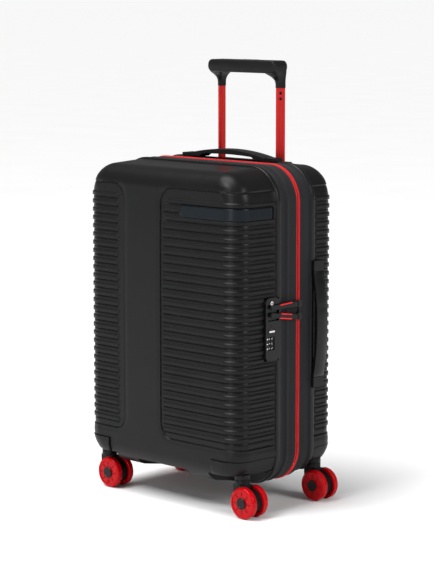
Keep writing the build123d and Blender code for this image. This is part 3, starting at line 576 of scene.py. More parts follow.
def shell_columns(side):
    coarse = between(-120, 120, 20)
    if side < 0:
        fine = between(-102, -82, 10) + between(-80.5, -76, 9) + between(-74.5, -68, 4)
        fine += between(-6, 2, 5) + between(3, 8, 10) + between(9.5, 30, 14) + between(44, 60, 14)
    else:
        half = between(80, 88, 5) + between(89, 94, 10) + between(95.5, 112, 9)
        fine = [sign * v for sign in (-1, 1) for v in half]
    keep = [c for c in coarse if all(abs(c - f) > 3 for f in fine)]
    return sorted(keep + fine)


ARC = [a / 90 for a in (0, 1.5, 3, 4.2, 5.2, 6.2, 7.4, 9, 12, 17, 23, 30, 37, 44, 51, 58, 65, 72, 79, 85, 90)]


def shell_piece(name, side, body, cutters):
    outer = Half(side, rows=rib_rows(), columns=shell_columns(side), corner_steps=34, arc=ARC,
                 wall_steps=10, relief=relief).build().solid(name)
    inner_rows, inner_columns = between(90, 500, 8), between(-130, 130, 6)
    inner = Half(side, inset=SHELL_WALL + RIB_DEPTH, rows=inner_rows, columns=inner_columns).build()
    hollow = carved(inner.solid("hollow"), low_spaces(side, SHELL_WALL))
    core = bpy.data.objects.new("core", hollow)
    bpy.context.scene.collection.objects.link(core)
    mesh = carved(outer, [core] + low_spaces(side, 0.0, 0.7) + cutters)
    obj = new_piece(name, mesh, body, "shell", 28.0)
    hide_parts(name)
    return obj


def disc(x, y, z0, z1, radius, count=48):
    """Upright round cutter."""
    points = []
    for i in range(count):
        angle = 2 * math.pi * i / count
        points.append((x + radius * math.cos(angle), y + radius * math.sin(angle), z0))
    return prism(points, (0, 0, z1 - z0))


def low_spaces(side, grow, groove=0.0):
    """Cutters for the pods, castor bays and raised middle of the underside."""
    tools = []
    edge = 29.5 if side < 0 else BACK_RIM + 2.0
    for sign in (-1, 1):
        x0, x1 = sorted((sign * (POD_X - grow - groove), sign * 200))
        y0, y1 = sorted((side * (edge - grow), side * 140))
        tools.append(box_cutter(x0, x1, y0, y1, POD_LOW - 2 * grow - groove, POD_HIGH + grow + groove))
        tools.append(disc(sign * CASTOR_X, side * CASTOR_Y, -1, POD_LOW + grow, BAY_R + grow))
        x0, x1 = sorted((sign * (CASTOR_X - BAY_R - grow), sign * 200))
        y0, y1 = sorted((side * (CASTOR_Y - grow), side * 140))
        tools.append(box_cutter(x0, x1, y0, y1, -1, POD_LOW + grow))
    face, rim = (FRONT_FACE, FRONT_RIM) if side < 0 else (BACK_FACE, BACK_RIM)
    half, top = 56.0 + grow, 64.0 + grow
    outline = [(-half - 16, -1), (-half, top), (half, top), (half + 16, -1)]
    start, end = face + side * 2, rim + side * 12
    drop = 12.0
    near = [(x, start, z) for x, z in outline]
    far = [(x, end, z - (drop if z > 0 else 0)) for x, z in outline]
    verts = near + far
    faces = [(0, 1, 2, 3), (7, 6, 5, 4)] + [(i, (i + 1) % 4, 4 + (i + 1) % 4, 4 + i) for i in range(4)]
    tools.append(cutter("cut", verts, faces))
    return tools


# ---------------------------------------------------------------- rings round the case
def band_path(spacing=7.0, corner_steps=22):
    """Points round the zip band, clockwise from the middle of the hinge side, with normals."""
    half, low, high, corner = BAND_HALF, BAND_LOW, BAND_HIGH, BAND_CORNER
    points = []

    def straight(a, b, normal):
        steps = max(1, round(math.dist(a, b) / spacing))
        for i in range(steps):
            t = i / steps
            points.append((a[0] + (b[0] - a[0]) * t, a[1] + (b[1] - a[1]) * t, *normal))

    def bend(cx, cz, start):
        for i in range(corner_steps):
            angle = math.radians(start - 90 * i / corner_steps)
            points.append((cx + corner * math.cos(angle), cz + corner * math.sin(angle),
                           math.cos(angle), math.sin(angle)))

    cx, top, low_c = half - corner, high - corner, low + corner
    middle = (HINGE_LOW + HINGE_HIGH) / 2
    straight((-half, middle), (-half, HINGE_HIGH), (-1, 0))
    straight((-half, HINGE_HIGH), (-half, top), (-1, 0))
    bend(-cx, top, 180)
    straight((-cx, high), (cx, high), (0, 1))
    bend(cx, top, 90)
    straight((half, top), (half, low_c), (1, 0))
    bend(cx, low_c, 0)
    straight((cx, low), (-cx, low), (0, -1))
    bend(-cx, low_c, -90)
    straight((-half, low_c), (-half, HINGE_LOW), (-1, 0))
    straight((-half, HINGE_LOW), (-half, middle), (-1, 0))
    return points


def on_hinge(point):
    """Whether a point of the band lies on the stretch held by the cloth hinge."""
    return point[0] < -BAND_HALF + 1 and HINGE_LOW < point[1] < HINGE_HIGH


def ring_mesh(name, profile, gap=False):
    """Closed profile of (y, out) points swept round the band; gap leaves the hinge side free."""
    path = band_path()
    if gap:
        path = [p for p in path if not on_hinge(p)]
    count, size = len(path), len(profile)
    verts, uvs, run = [], [], 0.0
    across = [0.0]
    for a, b in zip(profile, profile[1:]):
        across.append(across[-1] + math.dist(a, b))
    for i, (x, z, nx, nz) in enumerate(path):
        if i:
            run += math.dist((x, z), path[i - 1][:2])
        for (y, out), v in zip(profile, across):
            verts.append((x + nx * out, y, z + nz * out))
            uvs.append((run * MM, v * MM))
    faces = []
    for i in range(count if not gap else count - 1):
        k = (i + 1) % count
        for j in range(size):
            m = (j + 1) % size
            faces.append((i * size + j, i * size + m, k * size + m, k * size + j))
    if gap:
        faces += [tuple(range(size)), tuple(range((count - 1) * size, count * size))]
    return raw_mesh(name, verts, faces, uvs)


def rounded_profile(y0, y1, low, high, radius, steps=4):
    """Closed outline of a strip whose two outer corners are rounded."""
    points = [(y0, low)]
    for cy, start in ((y0 + radius, 180), (y1 - radius, 90)):
        for i in range(steps + 1):
            angle = math.radians(start - 90 * i / steps)
            points.append((cy + radius * math.cos(angle), high - radius + radius * math.sin(angle)))
    points.append((y1, low))
    return points


def lock_room():
    return box_cutter(150, 200, LOCK_Y - 15.5, LOCK_Y + 15.5, LOCK_Z - 49.5, LOCK_Z + 49.5)


def socket_cutters():
    tools = []
    for sign in (-1, 1):
        x0, x1 = sorted((sign * 76, sign * 101))
        tools.append(box_cutter(x0, x1, 38, 62, 525.8, 560))
        z0, z1 = sorted((289 + sign * 76, 289 + sign * 101))
        tools.append(box_cutter(159.8, 200, 49, 73, z0, z1))
    return tools


def back_bays():
    """The back castors sweep a little under the zip band."""
    tools = []
    for sign in (-1, 1):
        tools.append(disc(sign * CASTOR_X, CASTOR_Y, -1, 53, BAY_R))
    return tools


def rings():
    rim = rounded_profile(-30.0, -21.0, -5.0, 0.8, 2.6)
    obj = new_piece("front_rim_bead", carved(ring_mesh("front_rim_bead", rim), [lock_room()]),
                    "front_case", "rim")
    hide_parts("front_rim")
    rim = rounded_profile(48.4, 57.5, -5.0, 0.8, 2.6)
    obj = new_piece("back_rim_bead",
                    carved(ring_mesh("back_rim_bead", rim), back_bays() + socket_cutters()),
                    "back_case", "rim")
    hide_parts("back_rim")
    front = [(-21.0, -4.0), (-21.0, -1.0), (-19.5, -1.9), (-11.5, -1.9), (-9.6, -1.5), (-8.4, -0.1),
             (-7.0, 0.3), (-5.0, 0.3), (-3.6, -0.1), (-2.6, -1.2), (-1.4, -1.3), (6.0, -1.1), (12.8, -0.7),
             (14.7, -0.9), (14.9, -1.4), (14.9, -4.0)]
    obj = new_piece("front_gusset_cloth", carved(ring_mesh("front_gusset_cloth", front), [lock_room()]),
                    "front_case", "gusset", 50)
    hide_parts("front_gusset")
    back = [(22.4, -4.0), (22.4, -1.4), (22.7, -0.9), (24.5, -0.7), (32.0, -0.9), (40.6, -0.8), (41.8, -1.0),
            (42.3, -1.9), (47.6, -1.9), (48.4, -1.0), (48.4, -4.0)]
    obj = new_piece("back_gusset_cloth",
                    carved(ring_mesh("back_gusset_cloth", back), back_bays() + socket_cutters()),
                    "back_case", "gusset", 50)
    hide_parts("back_gusset")


def zip_pieces():
    """Two cloth tapes with a row of coil teeth each, interlocked along the middle."""
    reach = 2.3
    for body, node, y0, y1, sign in (("front_case", "zip_tape_front", ZIP_FRONT, ZIP_MID - reach, -1),
                                     ("back_case", "zip_tape_back", ZIP_MID + reach, ZIP_BACK, 1)):
        low, high = sorted((y0, y1))
        tape = [(low, -2.6), (low, -0.35), (low + 0.3, -0.1), (high - 0.3, -0.1), (high, -0.35), (high, -2.6)]
        obj = new_piece(node + "_cloth", ring_mesh(node, tape, gap=True), body, "zip_cloth", 50)
        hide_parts(node)
        teeth_piece(node + "_teeth", body, sign, reach)


def teeth_piece(name, body, sign, reach):
    """Coil teeth on one side of the zip: short rounded bars that end just past the middle."""
    path = [p for p in band_path(TOOTH_GAP, TOOTH_CORNER_STEPS) if not on_hinge(p)]
    verts, faces = [], []
    start, end = sign * (reach + 0.4), -sign * 1.0
    section = [(0.42, -0.6), (0.42, 0.25), (0.0, 0.55), (-0.42, 0.25), (-0.42, -0.6)]
    stations = [(start, 0.6), (start * 0.8, 1.0), (end * 0.2, 1.0), (end * 0.8, 0.9), (end, 0.45)]
    for i, (x, z, nx, nz) in enumerate(path):
        if i % 2 != (0 if sign > 0 else 1):
            continue
        tx, tz = -nz, nx
        base = len(verts)
        for y, size in stations:
            for along, out in section:
                out = (out + 0.6) * size - 0.3
                verts.append((x + tx * along * size + nx * out, ZIP_MID + y,
                              z + tz * along * size + nz * out))
        rows, width = len(stations), len(section)
        for r in range(rows - 1):
            for c in range(width):
                k = (c + 1) % width
                faces.append((base + r * width + c, base + r * width + k,
                              base + (r + 1) * width + k, base + (r + 1) * width + c))
        faces += [tuple(range(base, base + width)),
                  tuple(range(base + (rows - 1) * width, base + rows * width))]
    new_piece(name, raw_mesh(name, verts, faces), body, "coil", 60)


def hinge_cloth():
    """Strip of gusset cloth over the hinge side of the case."""
    verts, uvs = [], []
    rows = between(HINGE_LOW, HINGE_HIGH, 60)
    ys = between(14.6, 22.7, 10)
    for z in rows:
        for y in ys:
            verts.append((-175.9 - 0.15 * math.sin(math.pi * (y - 14.6) / 8.1), y, z))
            uvs.append((z * MM, y * MM))
    mesh = raw_mesh("hinge_cloth", verts, grid_faces(len(rows), len(ys)), uvs)
    obj = new_piece("hinge_cloth", mesh, None, "gusset")
    thicken(obj, 0.8)
    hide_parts("hinge_tape")
    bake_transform(obj)


def apply_all(obj):
    """Makes the object's modifiers part of its mesh."""
    graph = bpy.context.evaluated_depsgraph_get()
    mesh = bpy.data.meshes.new_from_object(obj.evaluated_get(graph))
    obj.modifiers.clear()
    obj.data = mesh


# ---------------------------------------------------------------- CAD nodes that stay
def dress(material, names, bevel=0.0, angle=38.0):
    """Gives CAD nodes a material, and a small bevel on their edges."""
    for name in names:
        obj = nodes[name]
        for slot in obj.material_slots:
            slot.link = "OBJECT"
            slot.material = MAT[material]
        if not obj.material_slots:
            obj.data.materials.append(MAT[material])
        if bevel:
            weld = obj.modifiers.new("weld", "WELD")
            weld.merge_threshold = 0.00001
            edge = obj.modifiers.new("bevel", "BEVEL")
            edge.width = bevel * MM
            edge.segments = 2
            edge.limit_method = "ANGLE"
            edge.angle_limit = math.radians(angle)
            edge.harden_normals = True


def cad_pieces():
    corners = ("front_left", "front_right", "back_left", "back_right")
    dress("black", ["castor_mounts_front", "castor_mounts_back"], 0.5)
    dress("black", [f"castor_fork_{c}" for c in corners], 0.4)
    dress("gloss_black", [f"castor_axle_{c}" for c in corners], 0.3)
    dress("wheel", [f"wheel_{c}_{s}" for c in corners for s in "ab"])
    dress("lock", ["lock_body"], 0.7)
    dress("dial", ["dial_upper", "dial_middle", "dial_lower"], 0.25)
    dress("lock", ["release_button", "key_cylinder"], 0.3)
    dress("steel", ["dial_shaft", "latch_bar", "push_rods"], 0.15)
    dress("gloss_black", ["zip_slider_upper", "zip_slider_lower"], 0.3)
    dress("rubber", ["zip_pull_upper", "zip_pull_lower"], 0.5)
    dress("rubber", ["top_handle"], 1.2)
    dress("lock", ["side_handle"], 1.2)
    dress("black", ["top_handle_sockets", "side_handle_sockets"], 0.5)
    dress("button", ["grip_button"], 0.6)
    dress("red_alloy", ["inner_tubes"])
    dress("alloy", ["middle_tubes", "guide_tubes"])
    dress("black", ["base_bracket"], 0.4)
    dress("gloss_black", ["lock_marker"], 0.3)
    dress("black", ["strap_buckles"], 0.8)


# ---------------------------------------------------------------- small pieces
def loft(sections, closed_ends=True):
    """Vertices and faces through sections with the same number of points."""
    size = len(sections[0])
    verts = [p for section in sections for p in section]
    faces = []
    for a in range(len(sections) - 1):
        for k in range(size):
            m = (k + 1) % size
            faces.append((a * size + k, a * size + m, (a + 1) * size + m, (a + 1) * size + k))
    if closed_ends:
        last = (len(sections) - 1) * size
        faces += [tuple(reversed(range(size))), tuple(range(last, last + size))]
    return verts, faces


def rounded_box_outline(x0, x1, y0, y1, radius, steps=6):
    """Rounded rectangle as (x, y) points."""
    points = []
    for cx, cy, start in ((x1 - radius, y1 - radius, 0), (x0 + radius, y1 - radius, 90),
                          (x0 + radius, y0 + radius, 180), (x1 - radius, y0 + radius, 270)):
        for i in range(steps + 1):
            angle = math.radians(start + 90 * i / steps)
            points.append((cx + radius * math.cos(angle), cy + radius * math.sin(angle)))
    return points


def ray_reach(outline, angle):
    """Distance from the origin to an outline in a direction."""
    dx, dy = math.cos(angle), math.sin(angle)
    best = 0.0
    for (ax, ay), (bx, by) in zip(outline, outline[1:] + outline[:1]):
        cross = dx * (by - ay) - dy * (bx - ax)
        if abs(cross) < 1e-9:
            continue
        along = (ax * (by - ay) - ay * (bx - ax)) / cross
        share = (ax * dy - ay * dx) / cross
        if along > 0 and -1e-6 <= share <= 1 + 1e-6:
            best = max(best, along)
    return best


def tube_outline(sign):
    """Outline of one trolley tube about its own middle, its flat face turned outwards and to the front."""
    turn = math.radians(-135 * sign)
    return [(x * math.cos(turn) - y * math.sin(turn), x * math.sin(turn) + y * math.cos(turn))
            for x, y in TUBE_OUTLINE]


def grip_leg(sign, clearance=0.6):
    """Leg that starts as the tube's own outline and widens into the bar."""
    tube = tube_outline(sign)
    near, far = sorted((sign * (LEG_INSIDE - TUBE_X), sign * (GRIP_HALF - TUBE_X)))
    bar = rounded_box_outline(near, far, LEG_FRONT - TUBE_Y, LEG_BACK - TUBE_Y, 4.5)
    rows = []
    for z, share in GRIP_LEG:
        row = []
        for i in range(48):
            angle = 2 * math.pi * i / 48
            reach = (ray_reach(tube, angle) + clearance) * (1 - share) + ray_reach(bar, angle) * share
            row.append((sign * TUBE_X + reach * math.cos(angle), TUBE_Y + reach * math.sin(angle), z))
        rows.append(row)
    return cutter("leg", *loft(rows))


def grip_piece():
    """Trolley grip: a deep rounded bar whose ends flow down into two slim legs."""
    sections = []
    for y, inset in ((GRIP_FRONT, 2.4), (GRIP_FRONT + 0.5, 1.1), (GRIP_FRONT + 1.6, 0.3),
                     (GRIP_FRONT + 3.2, 0.0), (GRIP_BACK - 3.2, 0.0), (GRIP_BACK - 1.6, 0.3),
                     (GRIP_BACK - 0.5, 1.1), (GRIP_BACK, 2.4)):
        ring = rounded_box_outline(-GRIP_HALF + inset, GRIP_HALF - inset, GRIP_LOW + inset,
                                   GRIP_HIGH - inset, 8.5 - inset * 0.5)
        sections.append([(x, y, z) for x, z in ring])
    bar = raw_mesh("bar", *loft(sections))
    for sign in (-1, 1):
        bar = carved(bar, [grip_leg(sign)], "UNION")
    mesh = carved(bar, [box_cutter(-BUTTON_HALF, BUTTON_HALF, BUTTON_FRONT, BUTTON_BACK,
                                   BUTTON_LOW, GRIP_HIGH + 2)])
    obj = new_piece("trolley_grip_cover", mesh, "trolley_inner", "rubber", 40)
    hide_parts("trolley_grip")


def bezel_piece():
    """Tray round the stowed grip, with deeper ends where the tubes come through."""
    half, wall, front, back = TRAY_HALF, TRAY_WALL, TRAY_FRONT, TRAY_BACK
    tray = raw_mesh("tray", *box_faces(-half, half, front, back, TRAY_FLOOR, TRAY_TOP))
    ends = []
    for sign in (1, -1):
        near, far = sorted((sign * TRAY_END, sign * half))
        ends.append(box_cutter(near, far, front, back, TRAY_LOW, TRAY_FLOOR + 1))
    tray = carved(tray, ends, "UNION")
    tools = [box_cutter(wall - half, half - wall, front + wall, back - wall,
                        TRAY_FLOOR + TRAY_FLOOR_THICK, TRAY_TOP + 1)]
    for sign in (1, -1):
        near, far = sorted((sign * (TRAY_END + wall), sign * (half - wall)))
        tools.append(box_cutter(near, far, front + wall, back - wall, TRAY_END_FLOOR, TRAY_FLOOR + 4))
        near, far = sorted((sign * (TUBE_X - 11.5), sign * (half - wall)))
        tools.append(box_cutter(near, far, front + wall, back - 1.5, GUIDE_TOP, TRAY_FLOOR + 4))
        rows = []
        for z in (TRAY_LOW - 2, GUIDE_TOP + 2):
            row = []
            for i in range(48):
                angle = math.tau * i / 48
                reach = ray_reach(tube_outline(sign), angle) + GUIDE_GROW
                row.append((sign * TUBE_X + reach * math.cos(angle), TUBE_Y + reach * math.sin(angle), z))
            rows.append(row)
        tools.append(cutter("hole", *loft(rows)))
    obj = new_piece("trolley_tray", carved(tray, tools), "back_case", "black", 30)
    edge = obj.modifiers.new("bevel", "BEVEL")
    edge.width, edge.segments, edge.limit_method = 0.5 * MM, 2, "ANGLE"
    edge.angle_limit = math.radians(38)
    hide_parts("trolley_bezel")


def rivet_piece():
    """Black rivets let flush into the flat face of each red tube."""
    verts, faces = [], []
    for sign in (-1, 1):
        nx, ny = sign * math.sqrt(0.5), -math.sqrt(0.5)
        for height in RIVETS:
            sections = []
            for radius, out in ((0.05, RIVET_IN), (RIVET_R, RIVET_IN),
                                (RIVET_R, RIVET_OUT), (0.05, RIVET_OUT)):
                ring = []
                for k in range(24):
                    across = radius * math.cos(math.tau * k / 24)
                    up = radius * math.sin(math.tau * k / 24)
                    ring.append((TUBE_X * sign + nx * out - ny * across, TUBE_Y + ny * out + nx * across,
                                 height + up))
                sections.append(ring)
            more, ends = loft(sections)
            faces += [tuple(len(verts) + i for i in face) for face in ends]
            verts += more
    obj = new_piece("rivet_heads", raw_mesh("rivets", verts, faces), "trolley_inner", "dial")
    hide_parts("tube_rivets")


def badge_piece():
    """Smooth strip in its recess, following the shell round the front corner."""
    columns = [x for x in shell_columns(-1) if x > BADGE_LEFT + 1]
    half = Half(-1, rows=between(BADGE_LOW + 0.6, BADGE_HIGH - 0.6, 14), columns=columns, corner_steps=16,
                arc=ARC, wall_steps=10, relief=lambda point, owner: BADGE_DEPTH).build()
    keep = [badge_inside(*v) > BADGE_GAP and v[0] > 0 for v in half.verts]
    used = [f for f in half.faces if all(keep[i] for i in f)]
    order = sorted({i for f in used for i in f})
    place = {old: new for new, old in enumerate(order)}
    verts = [half.verts[i] for i in order]
    faces = [tuple(place[i] for i in f) for f in used]
    dark = [sum(verts[i][1] for i in f) / 4 > BADGE_DARK_FROM and verts[f[0]][0] > 150 for f in faces]
    mesh = raw_mesh("badge", verts, faces)
    obj = new_piece("badge_inlay", mesh, "front_case", "badge", 60)
    mesh.materials.append(MAT["badge_dark"])
    for face, flag in zip(mesh.polygons, dark):
        face.material_index = int(flag)
    thick = obj.modifiers.new("thick", "SOLIDIFY")
    thick.thickness = BADGE_THICK * MM
    thick.offset = -1
    apply_all(obj)
    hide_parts("badge_strip")


def lathe(profile, centre, axis_y, count=40):
    """Verts and faces of a profile of (radius, along) turned round an axis along Y."""
    cx, cy, cz = centre
    sections = []
    for radius, along in profile:
        sections.append([(cx + radius * math.cos(2 * math.pi * i / count), cy + axis_y * along,
                          cz + radius * math.sin(2 * math.pi * i / count)) for i in range(count)])
    return loft(sections)


def digit_mesh(digit):
    """Flat raised figure from 0 to 9, in millimetres."""
    text = bpy.data.curves.new("digit", "FONT")
    text.body, text.size, text.extrude = str(digit), DIGIT_SIZE, DIGIT_LIFT
    text.align_x, text.align_y, text.resolution_u = "CENTER", "CENTER", 3
    obj = bpy.data.objects.new("digit", text)
    bpy.context.scene.collection.objects.link(obj)
    graph = bpy.context.evaluated_depsgraph_get()
    mesh = bpy.data.meshes.new_from_object(obj.evaluated_get(graph))
    bpy.data.objects.remove(obj)
    return mesh


def dial_numbers(name, z):
    """Figures 0 to 9 round one dial."""
    verts, faces = [], []
    for digit in range(10):
        mesh = digit_mesh(digit)
        angle, base = math.radians(36 * digit), len(verts)
        for v in mesh.vertices:
            radius, side = DIAL_R + v.co.z, v.co.x * 0.9
            verts.append((DIAL_X + radius * math.cos(angle) - side * math.sin(angle),
                          LOCK_LINE + radius * math.sin(angle) + side * math.cos(angle), z + v.co.y))
        faces += [tuple(base + i for i in f.vertices) for f in mesh.polygons]
    new_piece(name + "_numbers", raw_mesh(name + "_numbers", verts, faces), name, "white")


def index_marks():
    """Small triangle beside each dial."""
    verts, faces = [], []
    wedge = ((0, 1, 2), (3, 5, 4), (0, 3, 4, 1), (1, 4, 5, 2), (2, 5, 3, 0))
    for z in DIALS.values():
        base = len(verts)
        for x in (LOCK_OUT - 0.1, LOCK_OUT + 0.12):
            verts += [(x, LOCK_LINE - 10.6, z - 1.2), (x, LOCK_LINE - 10.6, z + 1.2), (x, LOCK_LINE - 7.6, z)]
        faces += [tuple(base + i for i in f) for f in wedge]
    new_piece("lock_index_marks", raw_mesh("marks", verts, faces), "front_case", "white")


def lock_marks():
    """Numbers on the dials, their index marks, the small marks of the lock, and a dark plate of painted shade
    for the keyhole.
    """
    for name, z in DIALS.items():
        dial_numbers(name, z)
    index_marks()
    bar = rounded_prism(177.5, 177.9, LOCK_LINE - 6.2, LOCK_LINE + 6.2, 287.2, 289.9, 0.8)
    new_piece("button_inlay", bar, "release_button", "chrome")
    for name, radius, x, z, material in (("lock_dot", 3.1, 177.2, 332.5, "white"),
                                         ("lock_dot_middle", 1.6, 177.32, 332.5, "red_mark"),
                                         ("key_dot", 0.8, 176.8, 292.4, "red_mark")):
        disc_mesh = rounded_prism(x - 0.1, x + 0.12, LOCK_LINE - radius, LOCK_LINE + radius,
                                  z - radius, z + radius, radius * 0.98)
        new_piece(name, disc_mesh, "front_case", material)
    # dark plate on the key cylinder: painted shade standing in for the inside of the keyhole
    slot = rounded_prism(176.95, 177.08, LOCK_LINE - 0.6, LOCK_LINE + 0.6, 294.6, 298.6, 0.5)
    new_piece("keyhole_painted_shade", slot, "key_cylinder", "dial")


def rounded_prism(x0, x1, y0, y1, z0, z1, radius):
    """Thin plate facing the lock side, with rounded corners."""
    ring = rounded_box_outline(y0, y1, z0, z1, radius)
    return raw_mesh("plate", *loft([[(x, y, z) for y, z in ring] for x in (x0, x1)]))


def tube_along(points, radius, count=10):
    """Round tube through points, tapered to a rounded end at both ends."""
    sections, steps = [], len(points) - 1
    for i, point in enumerate(points):
        a, b = Vector(points[max(0, i - 1)]), Vector(points[min(steps, i + 1)])
        way = (b - a).normalized()
        side = way.cross(Vector((1, 0, 0))).normalized()
        up = side.cross(way)
        size = radius * (0.45 if i in (0, steps) else 1.0)
        sections.append([tuple(Vector(point) + side * size * math.cos(2 * math.pi * k / count)
                               + up * size * math.sin(2 * math.pi * k / count)) for k in range(count)])
    return loft(sections)


def pull_edges():
    """Red cord let into the edges of the two zip pulls."""
    for body, name, start, end in (("zip_pull_upper", "upper", (0.0, 330.0), (-31.0, 328.6)),
                                   ("zip_pull_lower", "middle", (0.0, 310.9), (-28.0, 315.2)),
                                   ("zip_pull_lower", "lower", (0.0, 304.2), (-31.0, 308.6))):
        points = []
        for t in between(0, 1, 8):
            y = start[0] + (end[0] - start[0]) * t
            z = start[1] + (end[1] - start[1]) * t
            points.append((180.7, y, z))
        mesh = raw_mesh("edge", *tube_along(points, 1.05))
        new_piece(f"pull_cord_{name}", mesh, body, "cord")


def castor_details():
    """Hub caps, and the short radial marks on the outer face of each wheel."""
    for name, sx, sy in (("front_left", -1, -1), ("front_right", 1, -1), ("back_left", -1, 1),
                         ("back_right", 1, 1)):
        cx, cy = sx * CASTOR_X + TRAIL, sy * CASTOR_Y
        for letter, side in (("a", -1), ("b", 1)):
            cap = raw_mesh("cap", *lathe(HUB_CAP, (cx, cy, WHEEL_R), side))
            new_piece(f"hub_cap_{name}_{letter}", cap, f"castor_{name}", "gloss_black")
            mesh = raw_mesh("marks", *wheel_marks(cx, cy, side))
            new_piece(f"wheel_marks_{name}_{letter}", mesh, f"wheel_{name}_{letter}", "dark_red")


def wheel_marks(cx, cy, side):
    """Vertices and faces of the thin bars that point outwards from the hub of one wheel."""
    corners = ((MARK_IN, -MARK_HALF), (MARK_OUT, -MARK_HALF), (MARK_OUT, MARK_HALF), (MARK_IN, MARK_HALF))
    bar = ((0, 1, 2, 3), (4, 7, 6, 5), (0, 4, 5, 1), (1, 5, 6, 2), (2, 6, 7, 3), (3, 7, 4, 0))
    verts, faces = [], []
    for i in range(WHEEL_MARKS):
        angle = math.tau * i / WHEEL_MARKS
        base = len(verts)
        for along in (MARK_LOW, MARK_HIGH):
            for r, w in corners:
                verts.append((cx + r * math.cos(angle) - w * math.sin(angle), cy + side * along,
                              WHEEL_R + r * math.sin(angle) + w * math.cos(angle)))
        faces += [tuple(base + k for k in f) for f in bar]
    return verts, faces


# ---------------------------------------------------------------- inside
def grid_faces(count, width):
    """Faces of a grid whose vertices are stored one run of width after another."""
    faces = []
    for i in range(count - 1):
        for j in range(width - 1):
            a = i * width + j
            faces.append((a, a + 1, a + width + 1, a + width))
    return faces


def thicken(obj, thickness):
    """Gives a flat sheet its thickness, half to each side."""
    thick = obj.modifiers.new("thick", "SOLIDIFY")
    thick.thickness, thick.offset = thickness * MM, 0
    apply_all(obj)


def strap_pieces():
    """Webbing straps that lie a little slack over the lining of the back half."""
    length, width = STRAP_OUT - STRAP_IN, 2 * STRAP_HALF
    across, along = between(-STRAP_HALF, STRAP_HALF, 8), between(STRAP_IN, STRAP_OUT, 40)
    for name, sign, z in STRAPS:
        verts, uvs = [], []
        for x in along:
            sag = STRAP_SAG * math.sin(math.pi * (x - STRAP_IN) / length) * math.sin(x * 0.11 + z)
            for w in across:
                edge = 0.25 * (abs(w) / STRAP_HALF) ** 6
                verts.append((sign * x, STRAP_Y + sag - edge, z + w))
                uvs.append((x * MM, w * MM))
        mesh = raw_mesh("strap", verts, grid_faces(len(along), len(across)), uvs)
        obj = new_piece(f"strap_{name}", mesh, "back_case", "webbing", 60)
        thicken(obj, STRAP_THICK)
        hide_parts("pack_straps")


def cover_piece():
    """Lining panel over the trolley tubes, gathered slightly between its seams."""
    verts, uvs = [], []
    xs, zs = between(-COVER_HALF, COVER_HALF, 60), between(COVER_LOW, COVER_HIGH, 70)
    for x in xs:
        for z in zs:
            from_side = min(1, (COVER_HALF - abs(x)) / COVER_SEAM)
            from_end = min(1, (z - COVER_LOW) / COVER_SEAM, (COVER_HIGH - z) / COVER_SEAM)
            fold = noise.noise(Vector((x * 0.02, z * 0.008, 3.1))) * COVER_FOLD
            verts.append((x, COVER_Y + fold * from_side * from_end, z))
            uvs.append((x * MM, z * MM))
    mesh = raw_mesh("cover", verts, grid_faces(len(xs), len(zs)), uvs)
    obj = new_piece("trolley_cover", mesh, "back_case", "lining", 60)
    thicken(obj, COVER_THICK)
    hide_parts("trolley_panel")


def crumple(point, _half):
    """Shallow folds of the lining, which lies loose on the shell."""
    x, y, z = point
    return 0.5 + 0.5 * noise.noise(Vector((x * 0.018, y * 0.03, z * 0.018)))


def lining_piece(node, side, body, cutters):
    """Cloth lining of one half: a thin skin inside the shell that follows the castor pods."""
    grid = dict(rows=between(90, 500, 50), columns=between(-130, 130, 34), arc=between(0, 1, 8), wall_steps=8)
    outer = Half(side, inset=LINING_OUT, relief=crumple, **grid).build().solid(node)
    inner = Half(side, inset=LINING_IN, **grid).build().solid("core")
    core = bpy.data.objects.new("core", carved(inner, low_spaces(side, LINING_IN_LOW)))
    bpy.context.scene.collection.objects.link(core)
    mesh = carved(outer, low_spaces(side, LINING_OUT_LOW) + [core] + cutters)
    obj = new_piece(node + "_cloth", mesh, body, "lining", 50)
    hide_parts(node)


# ---------------------------------------------------------------- stage
def light(name, place, aim, width, height, power):
    """Soft rectangular light at a place, turned to its aim, both in metres."""
    data = bpy.data.lights.new(name, "AREA")
    data.shape, data.size, data.size_y, data.energy = "RECTANGLE", width, height, power
    obj = bpy.data.objects.new(name, data)
    obj.location = place
    obj.rotation_euler = (Vector(aim) - Vector(place)).to_track_quat("-Z", "Y").to_euler()
    bpy.context.scene.collection.objects.link(obj)


def sun(name, towards, spread, strength):
    """Wide, even light from a direction."""
    data = bpy.data.lights.new(name, "SUN")
    data.energy, data.angle = strength, math.radians(spread)
    obj = bpy.data.objects.new(name, data)
    obj.rotation_euler = Vector(towards).to_track_quat("Z", "Y").to_euler()
    bpy.context.scene.collection.objects.link(obj)


FLOOR = 600.0   # half the side of the floor, in metres


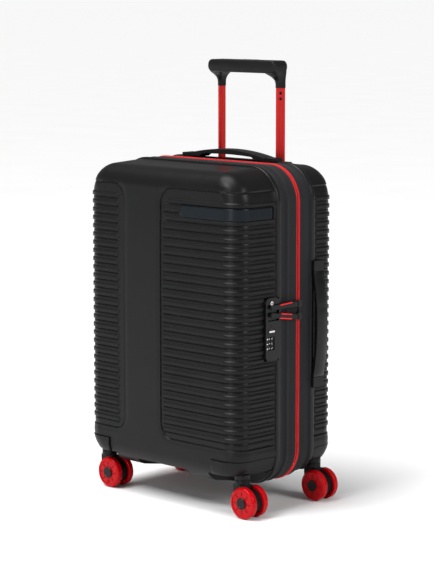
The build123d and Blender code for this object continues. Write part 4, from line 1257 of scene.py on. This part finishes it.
def stage():
    """Pale floor, white surroundings and the studio lights."""
    mesh = bpy.data.meshes.new("floor")
    corners = [(-FLOOR, -FLOOR, 0), (FLOOR, -FLOOR, 0), (FLOOR, FLOOR, 0), (-FLOOR, FLOOR, 0)]
    mesh.from_pydata(corners, [], [(0, 1, 2, 3)])
    floor = bpy.data.objects.new("floor", mesh)
    bpy.context.scene.collection.objects.link(floor)
    made = Nodes("floor", (0.94, 0.94, 0.94), 0.8, Specular_IOR_Level=0.1)
    made.colour(made.noise(3.0), (0.93, 0.93, 0.93), (0.95, 0.95, 0.95))
    mesh.materials.append(made.material)
    world = bpy.data.worlds.new("studio")
    world.use_nodes = True
    world.node_tree.nodes["Background"].inputs["Color"].default_value = (1, 1, 1, 1)
    world.node_tree.nodes["Background"].inputs["Strength"].default_value = 0.22
    bpy.context.scene.world = world
    bpy.context.scene.view_settings.view_transform = "Standard"
    sun("sky", (-0.25, -0.3, 1.0), 40.0, 2.75)
    light("front", (-0.4, -2.5, 2.9), (0, 0, 0.35), 1.4, 0.8, 60)
    light("strip", (0.3, -3.0, 1.0), (0, 0, 0.35), 0.9, 1.9, 20)
    light("side", (3.0, 0.4, 1.9), (0, 0, 0.35), 1.0, 1.4, 50)


def camera():
    """Camera a little above the case, in front of its lock side."""
    data = bpy.data.cameras.new("camera")
    obj = bpy.data.objects.new("camera", data)
    bpy.context.scene.collection.objects.link(obj)
    obj.location = (2.292, -2.343, 0.805)
    yaw, tilt = math.radians(44.268), math.radians(6.916)
    way = Vector((-math.sin(yaw) * math.cos(tilt), math.cos(yaw) * math.cos(tilt), -math.sin(tilt)))
    obj.rotation_euler = way.to_track_quat("-Z", "Y").to_euler()
    data.lens = 127.64
    data.shift_y = -0.0794
    data.sensor_width = 36.0
    data.sensor_fit = "AUTO"
    bpy.context.scene.camera = obj


shell_piece("front_shell", -1, "front_case", [lock_room()])
shell_piece("back_shell", 1, "back_case", socket_cutters() + [box_cutter(-80.5, 80.5, 67, 107, 480, 560)])
rings()
zip_pieces()
hinge_cloth()
cad_pieces()
grip_piece()
bezel_piece()
rivet_piece()
badge_piece()
lock_marks()
pull_edges()
castor_details()
lining_piece("front_lining", -1, "front_case", [box_cutter(150, 200, -60, -24, 240, 343)])
lining_piece("back_lining", 1, "back_case", [box_cutter(-82, 82, 65.5, 108.5, 480, 560)] + socket_cutters())
cover_piece()
strap_pieces()
stage()
camera()
